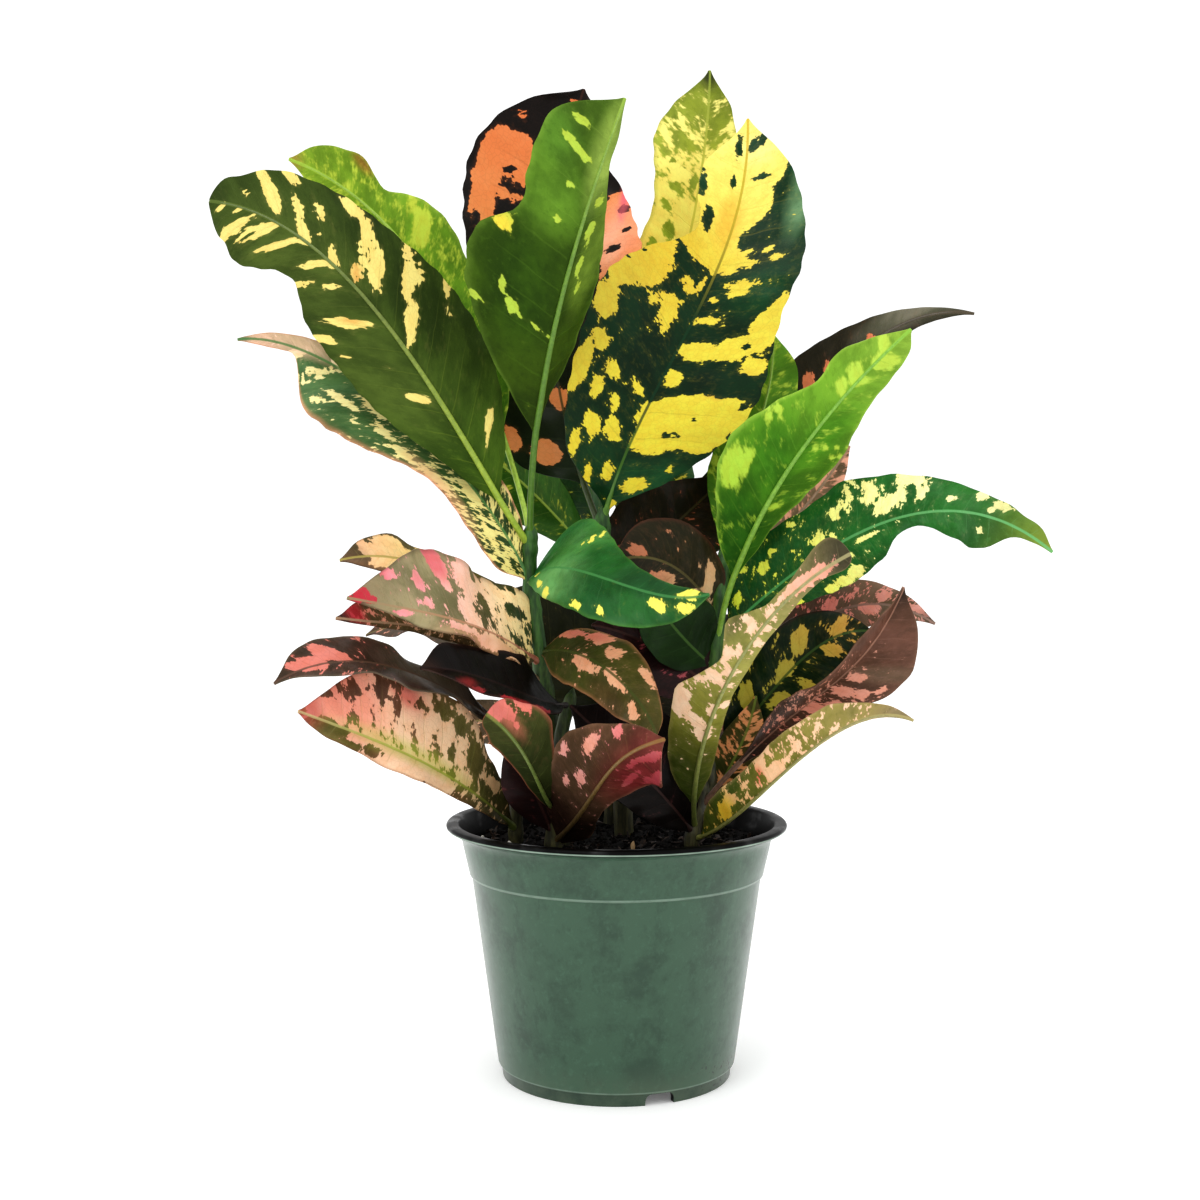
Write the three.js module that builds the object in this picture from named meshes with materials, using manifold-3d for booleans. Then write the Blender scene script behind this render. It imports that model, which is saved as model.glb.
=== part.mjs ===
// A potted croton: a nursery pot full of soil, and seven leafy stems that stand in holes in the soil.
// Millimetres, +Z up. The origin is on the ground, on the axis of the pot, and -Y is the front.
import * as THREE from 'three';
import { mergeVertices } from 'three/addons/utils/BufferGeometryUtils.js';
import Module from 'manifold-3d';

const wasm = await Module();
wasm.setup();

// Driving dimensions of the pot
const POT_HEIGHT = 123;
const RIM_RADIUS = 82.5;
const MOUTH_RADIUS = 76.5;
const RIM_THICKNESS = 2.6;
const WALL = 1.4;
const COLLAR_TOP_RADIUS = 74.4;
const COLLAR_DROP = 11;
const LIP_DROP = 6.4;
const LIP_FLARE = 1.4;
const STEP_HEIGHT = 98;
const STEP_RADIUS = 71.2;
const STEP_LEDGE = 1.1;
const BASE_RADIUS = 57.6;
const FOOT_HEIGHT = 6;
const FOOT_RADIUS = 55.4;
const FOOT_WIDTH = 3.6;
const FLOOR_THICKNESS = 1.6;
const FLOOR_CORNER = 1;
const SMALL_CHAMFER = 0.4;
const LARGE_CHAMFER = 0.8;
const POT_SIDES = 48;

// Three arched drainage notches through the foot ring, the first a little right of the front
const NOTCH_WIDTH = 14;
const NOTCH_HEIGHT = 5.2;
const NOTCH_CORNER = 3;
const NOTCH_REACH = 4;
const NOTCH_BEARINGS = [20.7, 140.7, 260.7];

// Driving dimensions of the soil
const SOIL_HEIGHT = 112;
const SOIL_GAP = 0.35;
const SOIL_RINGS = 9;
const SOIL_EDGE_DROP = 2;
const SOIL_LUMP_HEIGHT = 0.85;

// Driving dimensions of the stems and leaves
const STEM_SIDES = 8;
const HOLE_GAP = 0.4;
const HOLE_SIDES = 12;
const HOLE_FLOOR_GAP = 0.5;
const STALK_HALF_WIDTH = 1.7;
const STALK_THICKNESS = 3;
const BLADE_THICKNESS = 1;
const STALK_TAPER = 12;
const TIP_HALF_WIDTH = 0.6;
const RING_STEP = 17;
const FEWEST_STEPS = 7;
const ROUND_TIP_RINGS = [0.35, 0.1];
const FULL_WAVE_HALF_WIDTH = 12;
const WAVE_SHIFT_RIGHT = 1.3;

// One leaf. height is where its stalk leaves the stem, and stalk is the share of the midrib before the
// blade. rib holds the points of the midrib one third and two thirds of the way along, and its tip. face
// is the bearing and slope that the upper face looks to at the stem, and then at the tip. left and right
// are half widths at equal steps along the blade. form is the fold of each half in degrees, how far the
// halves bow down as a share of their width, and 1 for a round tip. wave is the height of the waved
// edge, how many waves there are, and the bearing on which they start.
function leaf(name, height, stalk, rib, face, left, right, form, wave) {
  return { name, height, stalk, rib, face, left, right, form, wave };
}

// Each stem's path starts in its hole in the soil; the radii are at the bottom and the top.
const STEMS = [
  {
    name: 'stem_left',
    path: [[-24, -2, 76], [-26, -4, 112], [-30, -10, 160], [-36, -15, 200], [-41, -16, 240], [-41, -17, 262]],
    radii: [5, 3.4],
    leaves: [
      leaf('long_olive', 256, 0.16, [[-75, -34, 312], [-124, -36, 379], [-190, -22, 417]], [200, 0, 185, 0],
        [17, 27, 34, 37, 36, 32, 28, 22, 14], [10, 18, 25, 29, 30, 28, 17, 21, 22],
        [12, 12, 0, 1], [2, 3, 0]),
      leaf('light_green', 262, 0.2, [[-68, 8, 343], [-108, 22, 408], [-162, 30, 447]], [165, 0, 165, 0],
        [12, 20, 24, 20, 24, 22, 15, 18, 12], [12, 20, 24, 25, 24, 21, 18, 16, 9], [12, 12, 0, 1], [2, 3, 1]),
      leaf('tall_green', 257, 0.25, [[-35, -40, 326], [-19, -62, 390], [3, -70, 453]], [210, 0, 210, 0],
        [7, 19, 24, 26, 24, 21, 14, 6, 5], [13, 25, 34, 45, 48, 44, 31, 30, 27], [30, 30, 0, 1], [2, 3, 2]),
      leaf('mid_left', 236, 0.03, [[-75, -20, 292], [-128, -15, 338], [-178, -20, 353]], [25, 10, 10, 0],
        [10, 14, 14, 18, 26, 29, 18, 4, 2], [8, 12, 14, 16, 16, 14, 8, 4, 2], [10, 10, 0, 0], [2, 3, 3]),
      leaf('front_green', 239, 0, [[-20, -60, 246], [9, -91, 238], [38, -110, 237]], [0, 30, 0, 30],
        [24, 29, 25, 14, 8, 5], [12, 18, 22, 22, 16, 9], [8, 8, 0.1, 0], [2, 2, 0]),
      leaf('yellow_left', 228, 0.1, [[-72, -27, 240], [-98, -42, 250], [-126, -52, 250]], [0, 30, 0, 30],
        [6, 8, 9, 8, 5], [6, 9, 11, 10, 6], [12, 12, 0, 0], [1, 2, 1]),
      leaf('pink_left', 200, 0.05, [[-58, -50, 217], [-82, -80, 227], [-116, -100, 235]], [0, 30, 0, 30],
        [10, 12, 13, 12, 11, 9, 8, 5], [16, 24, 30, 32, 30, 26, 17, 8], [12, 12, 0, 0], [2, 3, 4]),
      leaf('pink_left_low', 190, 0.1, [[-65, -48, 212], [-94, -76, 219], [-122, -92, 223]], [0, 30, 0, 30],
        [5, 7, 9, 9, 8, 7, 5], [8, 10, 12, 12, 11, 9, 6], [12, 12, 0, 0], [1.5, 3, 2]),
      leaf('olive_centre', 205, 0.1, [[-12, -42, 204], [8, -55, 188], [17, -62, 171]], [0, 30, 0, 30],
        [8, 13, 15, 13, 9, 5], [7, 10, 11, 11, 9, 5], [10, 10, 0.1, 0], [1.5, 2, 1]),
    ],
  },
  {
    name: 'stem_right',
    path: [[40, 12, 76], [42, 10, 112], [46, 2, 160], [47, -8, 200], [50, -8, 235], [52, -2, 252]],
    radii: [5, 3.2],
    leaves: [
      leaf('bright_green', 205, 0.21, [[63, -30, 263], [93, -50, 313], [130, -65, 353]], [200, 0, 190, 0],
        [7, 9, 14, 18, 18, 14, 14, 15, 13], [14, 22, 29, 30, 25, 20, 17, 16, 12],
        [12, 12, 0, 1], [1.5, 3, 0]),
      leaf('half_hidden', 248, 0.1, [[60, 25, 284], [74, 36, 324], [79, 48, 364]], [180, 0, 180, 0],
        [10, 16, 18, 18, 16, 12], [10, 16, 18, 18, 16, 12], [12, 12, 0, 0], [2, 3, 1]),
      leaf('dark_right', 250, 0.15, [[82, 40, 304], [125, 45, 355], [178, 30, 371]], [160, 0, 160, 0],
        [10, 16, 20, 20, 14, 9, 5, 3], [10, 16, 20, 22, 18, 12, 7, 3], [10, 10, 0, 0], [2, 3, 2]),
      leaf('far_right', 211, 0.12, [[93, -20, 250], [143, -42, 272], [194, -64, 254]], [15, 30, -10, 15],
        [8, 12, 17, 23, 23, 20, 15, 10, 4], [6, 12, 18, 20, 15, 6, 14, 17, 6], [10, 10, 0.1, 0], [2, 3, 3]),
      leaf('blotched_right', 145, 0.15, [[70, 0, 179], [94, -15, 207], [120, -25, 216]], [0, 20, 0, 20],
        [9, 14, 17, 15, 13, 7], [8, 12, 14, 13, 10, 6], [12, 12, 0, 0], [2, 2, 1]),
      leaf('pink_far_right', 198, 0.15, [[92, 20, 216], [123, 15, 227], [155, 5, 218]], [0, 20, 0, 20],
        [8, 12, 14, 13, 10, 6], [8, 12, 14, 13, 10, 6], [12, 12, 0, 0], [2, 2, 2]),
      leaf('pink_strip', 234, 0.15, [[78, 15, 259], [98, 20, 281], [115, 20, 305]], [180, 0, 180, 0],
        [8, 10, 11, 10, 9, 6], [8, 10, 12, 10, 8, 5], [12, 12, 0, 0], [1.5, 3, 3]),
      leaf('low_blotched', 124, 0.1, [[52, 4, 142], [61, -3, 162], [67, -6, 184]], [0, 10, 0, 10],
        [7, 10, 11, 10, 6], [7, 10, 11, 10, 6], [12, 12, 0, 0], [1, 2, 3]),
      leaf('inner_dark', 220, 0.05, [[35, -12, 240], [20, -18, 249], [5, -22, 246]], [0, 10, 0, 10],
        [8, 10, 10, 9, 6], [12, 16, 17, 15, 8], [10, 10, 0, 0], [1, 2, 0]),
      leaf('inner_maroon', 187, 0.05, [[30, -14, 204], [20, -18, 219], [10, -22, 233]], [0, 10, 0, 10],
        [10, 14, 14, 12, 7], [10, 14, 14, 12, 7], [12, 12, 0, 0], [1, 2, 1]),
      leaf('inner_green', 198, 0.05, [[33, -18, 211], [22, -26, 224], [11, -32, 238]], [0, 10, 0, 10],
        [8, 10, 10, 9, 6], [10, 14, 14, 12, 7], [12, 12, 0, 0], [1, 2, 2]),
    ],
  },
  {
    name: 'stem_centre',
    path: [[4, 26, 76], [4, 26, 112], [0, 24, 180], [-6, 14, 240], [-7, 9, 269]],
    radii: [5.2, 3.6],
    leaves: [
      leaf('yellow_hero', 266, 0.04, [[19, 5, 331], [51, 20, 395], [66, 40, 469]], [15, 5, -10, 5],
        [28, 38, 44, 48, 48, 38, 17, 21, 20], [22, 35, 43, 46, 42, 36, 37, 33, 22],
        [10, 10, 0, 0], [2.5, 3, 0]),
      leaf('dark_orange', 262, 0.12, [[-28, 30, 333], [-32, 45, 407], [-16, 45, 485]], [-20, 0, -10, 0],
        [30, 36, 40, 43, 45, 46, 46, 40, 28], [26, 34, 40, 44, 46, 44, 40, 16, 24],
        [10, 10, 0, 1], [2.5, 3, 2]),
      leaf('yellow_back', 268, 0.12, [[20, 45, 347], [40, 60, 425], [48, 60, 498]], [25, 0, 15, 0],
        [15, 25, 30, 32, 28, 24, 27, 29, 19], [15, 25, 28, 30, 28, 26, 22, 18, 12],
        [10, 10, 0, 0], [2, 3, 1]),
      leaf('centre_dark', 236, 0.1, [[18, 28, 256], [38, 38, 274], [56, 44, 290]], [0, 10, 0, 10],
        [10, 15, 17, 16, 12, 7], [10, 15, 17, 16, 12, 7], [12, 12, 0, 0], [1.5, 2, 1]),
      leaf('centre_low_left', 170, 0.12, [[-30, 30, 200], [-60, 34, 215], [-90, 36, 215]], [0, 30, 0, 50],
        [8, 12, 14, 13, 10, 6], [8, 12, 14, 13, 10, 6], [12, 12, 0, 0], [2, 2, 0]),
      leaf('centre_low_right', 165, 0.12, [[30, 38, 195], [58, 46, 212], [86, 50, 214]], [0, 30, 0, 50],
        [8, 12, 14, 13, 10, 6], [8, 12, 14, 13, 10, 6], [12, 12, 0, 0], [2, 2, 2]),
    ],
  },
  {
    name: 'stem_front',
    path: [[-30, -20, 76], [-30, -21, 112], [-29, -26, 140], [-26, -28, 168], [-22, -26, 184]],
    radii: [4.4, 3],
    leaves: [
      leaf('maroon_front', 116, 0.05, [[-13, -55, 141], [-1, -80, 161], [20, -95, 174]], [180, 0, 180, 0],
        [4, 6, 12, 18, 20, 14], [18, 22, 25, 28, 24, 14], [12, 12, 0, 0], [2, 2, 0]),
      leaf('olive_front', 132, 0.1, [[-35, -50, 146], [-43, -66, 167], [-58, -78, 187]], [180, 0, 180, 0],
        [5, 9, 14, 20, 24, 18], [3, 5, 7, 7, 5, 3], [12, 12, 0, 0], [1.5, 2, 1]),
      leaf('black_left', 182, 0.1, [[-38, -50, 187], [-60, -72, 198], [-86, -88, 204]], [0, 40, 0, 40],
        [12, 15, 15, 14, 11, 6], [12, 15, 15, 14, 11, 6], [12, 12, 0, 0], [1.5, 2, 2]),
      leaf('shaded_left', 118, 0.1, [[-36, -30, 135], [-43, -34, 152], [-50, -37, 168]], [0, 15, 0, 15],
        [6, 9, 10, 8, 5], [6, 9, 10, 8, 5], [12, 12, 0, 0], [1, 2, 2]),
    ],
  },
  {
    name: 'stem_low_left',
    path: [[-48, 2, 84], [-49, 1, 112], [-48, -3, 140], [-46, -8, 166]],
    radii: [3.8, 2.8],
    leaves: [
      leaf('pink_low_left', 118, 0.08, [[-77, -45, 150], [-108, -75, 171], [-138, -95, 186]], [0, 25, 0, 25],
        [5, 8, 11, 13, 13, 11, 7], [10, 20, 27, 29, 28, 24, 14], [12, 12, 0, 0], [2, 3, 0]),
      leaf('maroon_low_left', 162, 0.1, [[-76, -52, 190], [-110, -84, 206], [-146, -107, 199]],
        [0, 50, 0, 50],
        [9, 12, 14, 14, 11, 7], [11, 15, 17, 17, 14, 8], [12, 12, 0, 0], [2, 3, 2]),
    ],
  },
  {
    name: 'stem_low_right',
    path: [[36, -12, 80], [36, -12, 112], [38, -12, 124], [42, -8, 138]],
    radii: [4, 2.8],
    leaves: [
      leaf('ribbon_right', 121, 0.1, [[40, -58, 172], [61, -88, 220], [98, -105, 254]], [180, 0, 180, 0],
        [7, 7, 6, 6, 7, 8, 8, 8, 7], [12, 18, 20, 15, 14, 14, 10, 8, 8], [12, 12, 0, 1], [1.5, 3, 0]),
      leaf('purple_right', 130, 0.15, [[79, -25, 174], [107, -45, 201], [130, -50, 238]], [40, 20, 40, 20],
        [10, 15, 16, 15, 12, 8], [10, 14, 18, 21, 19, 10], [30, 30, 0, 0], [2, 2, 1]),
      leaf('pale_low_right', 116, 0.06, [[63, -45, 140], [94, -75, 173], [127, -95, 182]], [180, 0, 180, 0],
        [7, 8, 7, 5, 4, 3], [12, 15, 14, 12, 8, 5], [12, 12, 0, 0], [1.5, 2, 2]),
      leaf('shaded_front', 118, 0.1, [[24, -26, 132], [10, -32, 148], [-4, -36, 164]], [0, 20, 0, 20],
        [6, 9, 10, 8, 5], [6, 9, 10, 8, 5], [12, 12, 0, 0], [1, 2, 1]),
    ],
  },
  {
    name: 'stem_back',
    path: [[-2, 50, 78], [-2, 50, 112], [2, 46, 160], [4, 42, 205], [4, 40, 240]],
    radii: [4.6, 3.2],
    leaves: [
      leaf('back_tall', 238, 0.1, [[10, 68, 290], [22, 90, 340], [30, 102, 390]], [50, 10, 60, 10],
        [24, 32, 36, 34, 28, 20, 12], [24, 32, 36, 34, 28, 20, 12], [12, 12, 0, 0], [2.5, 3, 0]),
      leaf('back_left_high', 225, 0.12, [[-45, 66, 285], [-100, 88, 325], [-150, 98, 345]],
        [-40, 20, -30, 20],
        [12, 20, 25, 26, 24, 18, 10], [12, 20, 25, 26, 24, 18, 10], [12, 12, 0, 0], [2.5, 3, 2]),
      leaf('back_right_high', 225, 0.12, [[50, 62, 270], [90, 84, 305], [130, 96, 333]], [40, 20, 30, 20],
        [12, 18, 22, 23, 20, 15, 9], [12, 18, 22, 23, 20, 15, 9], [12, 12, 0, 0], [2, 3, 1]),
      leaf('back_left_mid', 176, 0.12, [[-45, 68, 200], [-92, 90, 212], [-135, 104, 206]], [0, 60, 0, 60],
        [10, 16, 20, 20, 16, 10], [10, 16, 20, 20, 16, 10], [12, 12, 0, 0], [2.5, 3, 1]),
      leaf('back_right_mid', 170, 0.12, [[50, 68, 190], [96, 88, 204], [138, 98, 196]], [0, 60, 0, 60],
        [10, 16, 20, 20, 16, 10], [10, 16, 20, 20, 16, 10], [12, 12, 0, 0], [2.5, 3, 3]),
      leaf('back_up_left', 230, 0.12, [[-14, 62, 278], [-30, 84, 324], [-42, 99, 362]], [-60, 10, -70, 10],
        [12, 18, 22, 22, 18, 13, 8], [12, 18, 22, 22, 18, 13, 8], [12, 12, 0, 0], [2.5, 3, 1]),
      leaf('back_low_middle', 126, 0.1, [[6, 76, 142], [12, 98, 152], [18, 112, 144]], [-50, 50, -50, 60],
        [8, 12, 14, 14, 11, 7], [8, 12, 14, 14, 11, 7], [12, 12, 0.1, 0], [2, 3, 2]),
      leaf('back_middle', 190, 0.1, [[6, 76, 220], [4, 97, 240], [0, 110, 238]], [60, 50, 40, 60],
        [9, 14, 17, 17, 14, 9], [9, 14, 17, 17, 14, 9], [12, 12, 0.1, 0], [2, 3, 2]),
      leaf('back_left_low', 132, 0.1, [[-40, 76, 152], [-75, 97, 160], [-108, 106, 146]], [-50, 50, -40, 50],
        [8, 13, 16, 16, 13, 8], [8, 13, 16, 16, 13, 8], [12, 12, 0.1, 0], [2, 3, 0]),
      leaf('back_right_low', 128, 0.1, [[40, 76, 148], [72, 98, 158], [104, 108, 146]], [50, 50, 40, 50],
        [8, 13, 16, 16, 13, 8], [8, 13, 16, 16, 13, 8], [12, 12, 0.1, 0], [2, 3, 1]),
    ],
  },
];

// Point of a stem's axis at a height, between the points of its path
function stemPoint(path, height) {
  let below = 0;
  while (below < path.length - 2 && path[below + 1][2] < height) below += 1;
  const from = new THREE.Vector3(...path[below]);
  const to = new THREE.Vector3(...path[below + 1]);
  return from.lerp(to, (height - path[below][2]) / (path[below + 1][2] - path[below][2]));
}

function stemRadius(stem, height) {
  const bottom = stem.path[0][2];
  const top = stem.path[stem.path.length - 1][2];
  return THREE.MathUtils.mapLinear(height, bottom, top, stem.radii[0], stem.radii[1]);
}

// Closed solid through rings of points. The second half of a blade's ring is its lower face, whose
// squares are split along the same diagonal as the upper face above them.
function loft(rings, lowerFrom) {
  const count = rings[0].length;
  const triangles = [];
  for (let i = 0; i < rings.length - 1; i += 1) {
    for (let j = 0; j < count; j += 1) {
      const a = i * count + j;
      const b = i * count + ((j + 1) % count);
      const c = b + count;
      const d = a + count;
      if (j < lowerFrom) triangles.push(a, b, c, a, c, d);
      else triangles.push(a, b, d, b, c, d);
    }
  }
  const last = (rings.length - 1) * count;
  const half = count / 2;
  for (let j = 0; j < half - 1; j += 1) {
    const k = count - 1 - j;
    triangles.push(j, k, k - 1, j, k - 1, j + 1);
    triangles.push(last + j, last + k - 1, last + k, last + j, last + j + 1, last + k - 1);
  }
  const geometry = new THREE.BufferGeometry();
  const points = rings.flat().flatMap((p) => [p.x, p.y, p.z]);
  geometry.setAttribute('position', new THREE.Float32BufferAttribute(points, 3));
  geometry.setIndex(triangles);
  return geometry;
}

// Manifold solid of a closed three.js geometry, and the way back
function solid(geometry) {
  const bare = geometry.clone();
  bare.deleteAttribute('normal');
  bare.deleteAttribute('uv');
  const merged = mergeVertices(bare, 1e-4);
  return new wasm.Manifold(new wasm.Mesh({
    numProp: 3,
    vertProperties: new Float32Array(merged.attributes.position.array),
    triVerts: new Uint32Array(merged.index.array),
  }));
}

function meshOf(name, body, material) {
  const mesh = body.getMesh();
  const geometry = new THREE.BufferGeometry();
  geometry.setAttribute('position', new THREE.BufferAttribute(new Float32Array(mesh.vertProperties), 3));
  geometry.setIndex(new THREE.BufferAttribute(new Uint32Array(mesh.triVerts), 1));
  geometry.computeVertexNormals();
  const result = new THREE.Mesh(geometry, material);
  result.name = name;
  return result;
}

// Unit vector at a bearing round from the front towards the right, raised by a slope
function bearingVector(bearing, slope) {
  const b = THREE.MathUtils.degToRad(bearing);
  const s = THREE.MathUtils.degToRad(slope);
  return new THREE.Vector3(Math.cos(s) * Math.sin(b), -Math.cos(s) * Math.cos(b), Math.sin(s));
}

// Half width at b along the blade: a smooth curve through the listed widths, round or pointed at the tip
function halfWidth(widths, roundTip, b) {
  const last = widths[widths.length - 1];
  const values = [STALK_HALF_WIDTH, ...widths, roundTip ? last : TIP_HALF_WIDTH];
  const width = new THREE.SplineCurve(values.map((v) => new THREE.Vector2(0, v))).getPoint(b).y;
  const lastStep = Math.max(0, 1 - (1 - b) * (values.length - 1));
  const rounding = roundTip ? Math.sqrt(Math.max(0, 1 - lastStep ** 2)) : 1;
  return Math.max(width * rounding, TIP_HALF_WIDTH);
}

// The midrib: the cubic that passes through the stem, the two points along it and the tip
function midrib(stem, spec) {
  const start = stemPoint(stem.path, spec.height);
  const [third, twoThirds, tip] = spec.rib.map((p) => new THREE.Vector3(...p));
  const sum = (...terms) => {
    const total = new THREE.Vector3();
    for (const [share, point] of terms) total.addScaledVector(point, share / 6);
    return total;
  };
  const out = sum([-5, start], [18, third], [-9, twoThirds], [2, tip]);
  const back = sum([2, start], [-9, third], [18, twoThirds], [-5, tip]);
  return new THREE.CubicBezierCurve3(start, out, back, tip);
}

function leafGeometry(stem, spec) {
  const curve = midrib(stem, spec);
  const [foldLeft, foldRight, bow, roundTip] = spec.form;
  const [waveHeight, waveCount, waveStart] = spec.wave;
  const steps = Math.max(FEWEST_STEPS, Math.round(curve.getLength() * (1 - spec.stalk) / RING_STEP));
  const places = Array.from({ length: steps + 1 }, (_, i) => i / steps);
  if (roundTip) places.splice(steps, 0, ...ROUND_TIP_RINGS.map((share) => 1 - share / steps));
  const alongRib = places.map((b) => ({ b, t: spec.stalk + (1 - spec.stalk) * b }));
  if (spec.stalk > 0) alongRib.unshift({ b: 0, t: 0 });
  const rings = alongRib.map(({ b, t }) => {
    const centre = curve.getPoint(t);
    const tangent = curve.getTangent(t);
    const lerp = THREE.MathUtils.lerp;
    const face = bearingVector(lerp(spec.face[0], spec.face[2], t), lerp(spec.face[1], spec.face[3], t));
    const up = face.addScaledVector(tangent, -face.dot(tangent)).normalize();
    const side = new THREE.Vector3().crossVectors(tangent, up);
    const thickness = BLADE_THICKNESS + (STALK_THICKNESS - BLADE_THICKNESS) * Math.exp(-STALK_TAPER * b);
    const surface = (across, lift) => {
      const half = halfWidth(across < 0 ? spec.left : spec.right, roundTip, b);
      const fold = THREE.MathUtils.degToRad(across < 0 ? foldLeft : foldRight);
      const phase = 2 * Math.PI * waveCount * b + waveStart + (across > 0 ? WAVE_SHIFT_RIGHT : 0);
      const wave = waveHeight * across ** 2 * Math.sin(phase) * Math.min(1, half / FULL_WAVE_HALF_WIDTH);
      const rise = half * (Math.abs(across) * Math.sin(fold) - bow * across ** 2) + wave;
      const out = half * across * Math.cos(fold);
      return centre.clone().addScaledVector(side, out).addScaledVector(up, rise + lift);
    };
    const across = [-1, -0.5, 0, 0.5, 1];
    const upper = across.map((x) => surface(x, thickness / 2));
    const lower = across.map((x) => surface(x, -thickness / 2)).reverse();
    return [...upper, ...lower];
  });
  return loft(rings, 5);
}

function stemGeometry(stem, extra, sides, bottom) {
  const path = stem.path.map((p) => new THREE.Vector3(...p));
  const rings = path.map((centre, i) => {
    const before = path[Math.max(0, i - 1)];
    const after = path[Math.min(path.length - 1, i + 1)];
    const tangent = after.clone().sub(before).normalize();
    const side = new THREE.Vector3(0, 1, 0).cross(tangent).normalize();
    const front = new THREE.Vector3().crossVectors(tangent, side);
    const radius = stemRadius(stem, centre.z) + extra;
    const low = i === 0 ? bottom : 0;
    return Array.from({ length: sides }, (_, k) => {
      const angle = (2 * Math.PI * k) / sides;
      return centre.clone().addScaledVector(side, radius * Math.cos(angle))
        .addScaledVector(front, radius * Math.sin(angle)).add(new THREE.Vector3(0, 0, -low));
    });
  });
  return loft(rings, sides);
}

// Radius of the inside of the pot's wall at a height
function insideRadius(z) {
  const { mapLinear } = THREE.MathUtils;
  const collarTop = POT_HEIGHT - COLLAR_DROP;
  const below = STEP_RADIUS - STEP_LEDGE;
  if (z > STEP_HEIGHT) return mapLinear(z, STEP_HEIGHT, collarTop, STEP_RADIUS, COLLAR_TOP_RADIUS) - WALL;
  return mapLinear(z, FOOT_HEIGHT, STEP_HEIGHT, BASE_RADIUS, below) - WALL;
}

// The pot: a foot ring, a tapered wall with one step, and a flared mouth with a flat rim
function pot() {
  const top = POT_HEIGHT;
  const foot = FOOT_RADIUS - FOOT_WIDTH;
  const floorTop = FOOT_HEIGHT + FLOOR_THICKNESS;
  const underLip = top - RIM_THICKNESS;
  const ledgeTop = STEP_HEIGHT + SMALL_CHAMFER;
  const profile = [
    [0, FOOT_HEIGHT], [foot - SMALL_CHAMFER, FOOT_HEIGHT], [foot, FOOT_HEIGHT - SMALL_CHAMFER], [foot, 0],
    [FOOT_RADIUS - SMALL_CHAMFER, 0], [FOOT_RADIUS, SMALL_CHAMFER],
    [FOOT_RADIUS + SMALL_CHAMFER, FOOT_HEIGHT - SMALL_CHAMFER], [BASE_RADIUS - SMALL_CHAMFER, FOOT_HEIGHT],
    [BASE_RADIUS, FOOT_HEIGHT + LARGE_CHAMFER], [STEP_RADIUS - STEP_LEDGE, STEP_HEIGHT - LARGE_CHAMFER],
    [STEP_RADIUS, STEP_HEIGHT], [COLLAR_TOP_RADIUS, top - COLLAR_DROP],
    [COLLAR_TOP_RADIUS + LIP_FLARE, top - LIP_DROP], [RIM_RADIUS - 2 * FLOOR_CORNER, underLip - FLOOR_CORNER],
    [RIM_RADIUS - SMALL_CHAMFER, underLip], [RIM_RADIUS, top - LARGE_CHAMFER],
    [RIM_RADIUS - LARGE_CHAMFER, top], [MOUTH_RADIUS + LARGE_CHAMFER, top],
    [MOUTH_RADIUS, top - LARGE_CHAMFER],
    [insideRadius(top - COLLAR_DROP), top - COLLAR_DROP], [insideRadius(ledgeTop), ledgeTop],
    [insideRadius(ledgeTop - FLOOR_CORNER), ledgeTop - FLOOR_CORNER],
    [insideRadius(floorTop + FLOOR_CORNER), floorTop + FLOOR_CORNER],
    [insideRadius(floorTop) - FLOOR_CORNER, floorTop], [0, floorTop],
  ].map(([r, z]) => new THREE.Vector2(r, z));
  const wall = new THREE.LatheGeometry(profile, POT_SIDES);
  wall.rotateX(Math.PI / 2);
  let body = solid(wall);
  for (const bearing of NOTCH_BEARINGS) body = body.subtract(solid(notch(bearing)));
  return body;
}

function notch(bearing) {
  const half = NOTCH_WIDTH / 2;
  const below = -1;
  const arch = new THREE.Shape();
  arch.moveTo(-half, below);
  arch.lineTo(half, below);
  arch.lineTo(half, NOTCH_HEIGHT - NOTCH_CORNER);
  arch.quadraticCurveTo(half, NOTCH_HEIGHT, half - NOTCH_CORNER, NOTCH_HEIGHT);
  arch.lineTo(NOTCH_CORNER - half, NOTCH_HEIGHT);
  arch.quadraticCurveTo(-half, NOTCH_HEIGHT, -half, NOTCH_HEIGHT - NOTCH_CORNER);
  const depth = FOOT_WIDTH + 2 * NOTCH_REACH;
  const cutter = new THREE.ExtrudeGeometry(arch, { depth, bevelEnabled: false, curveSegments: 4 });
  cutter.rotateX(Math.PI / 2);
  cutter.translate(0, -FOOT_RADIUS + FOOT_WIDTH + NOTCH_REACH, 0);
  cutter.rotateZ(THREE.MathUtils.degToRad(bearing));
  return cutter;
}

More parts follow.
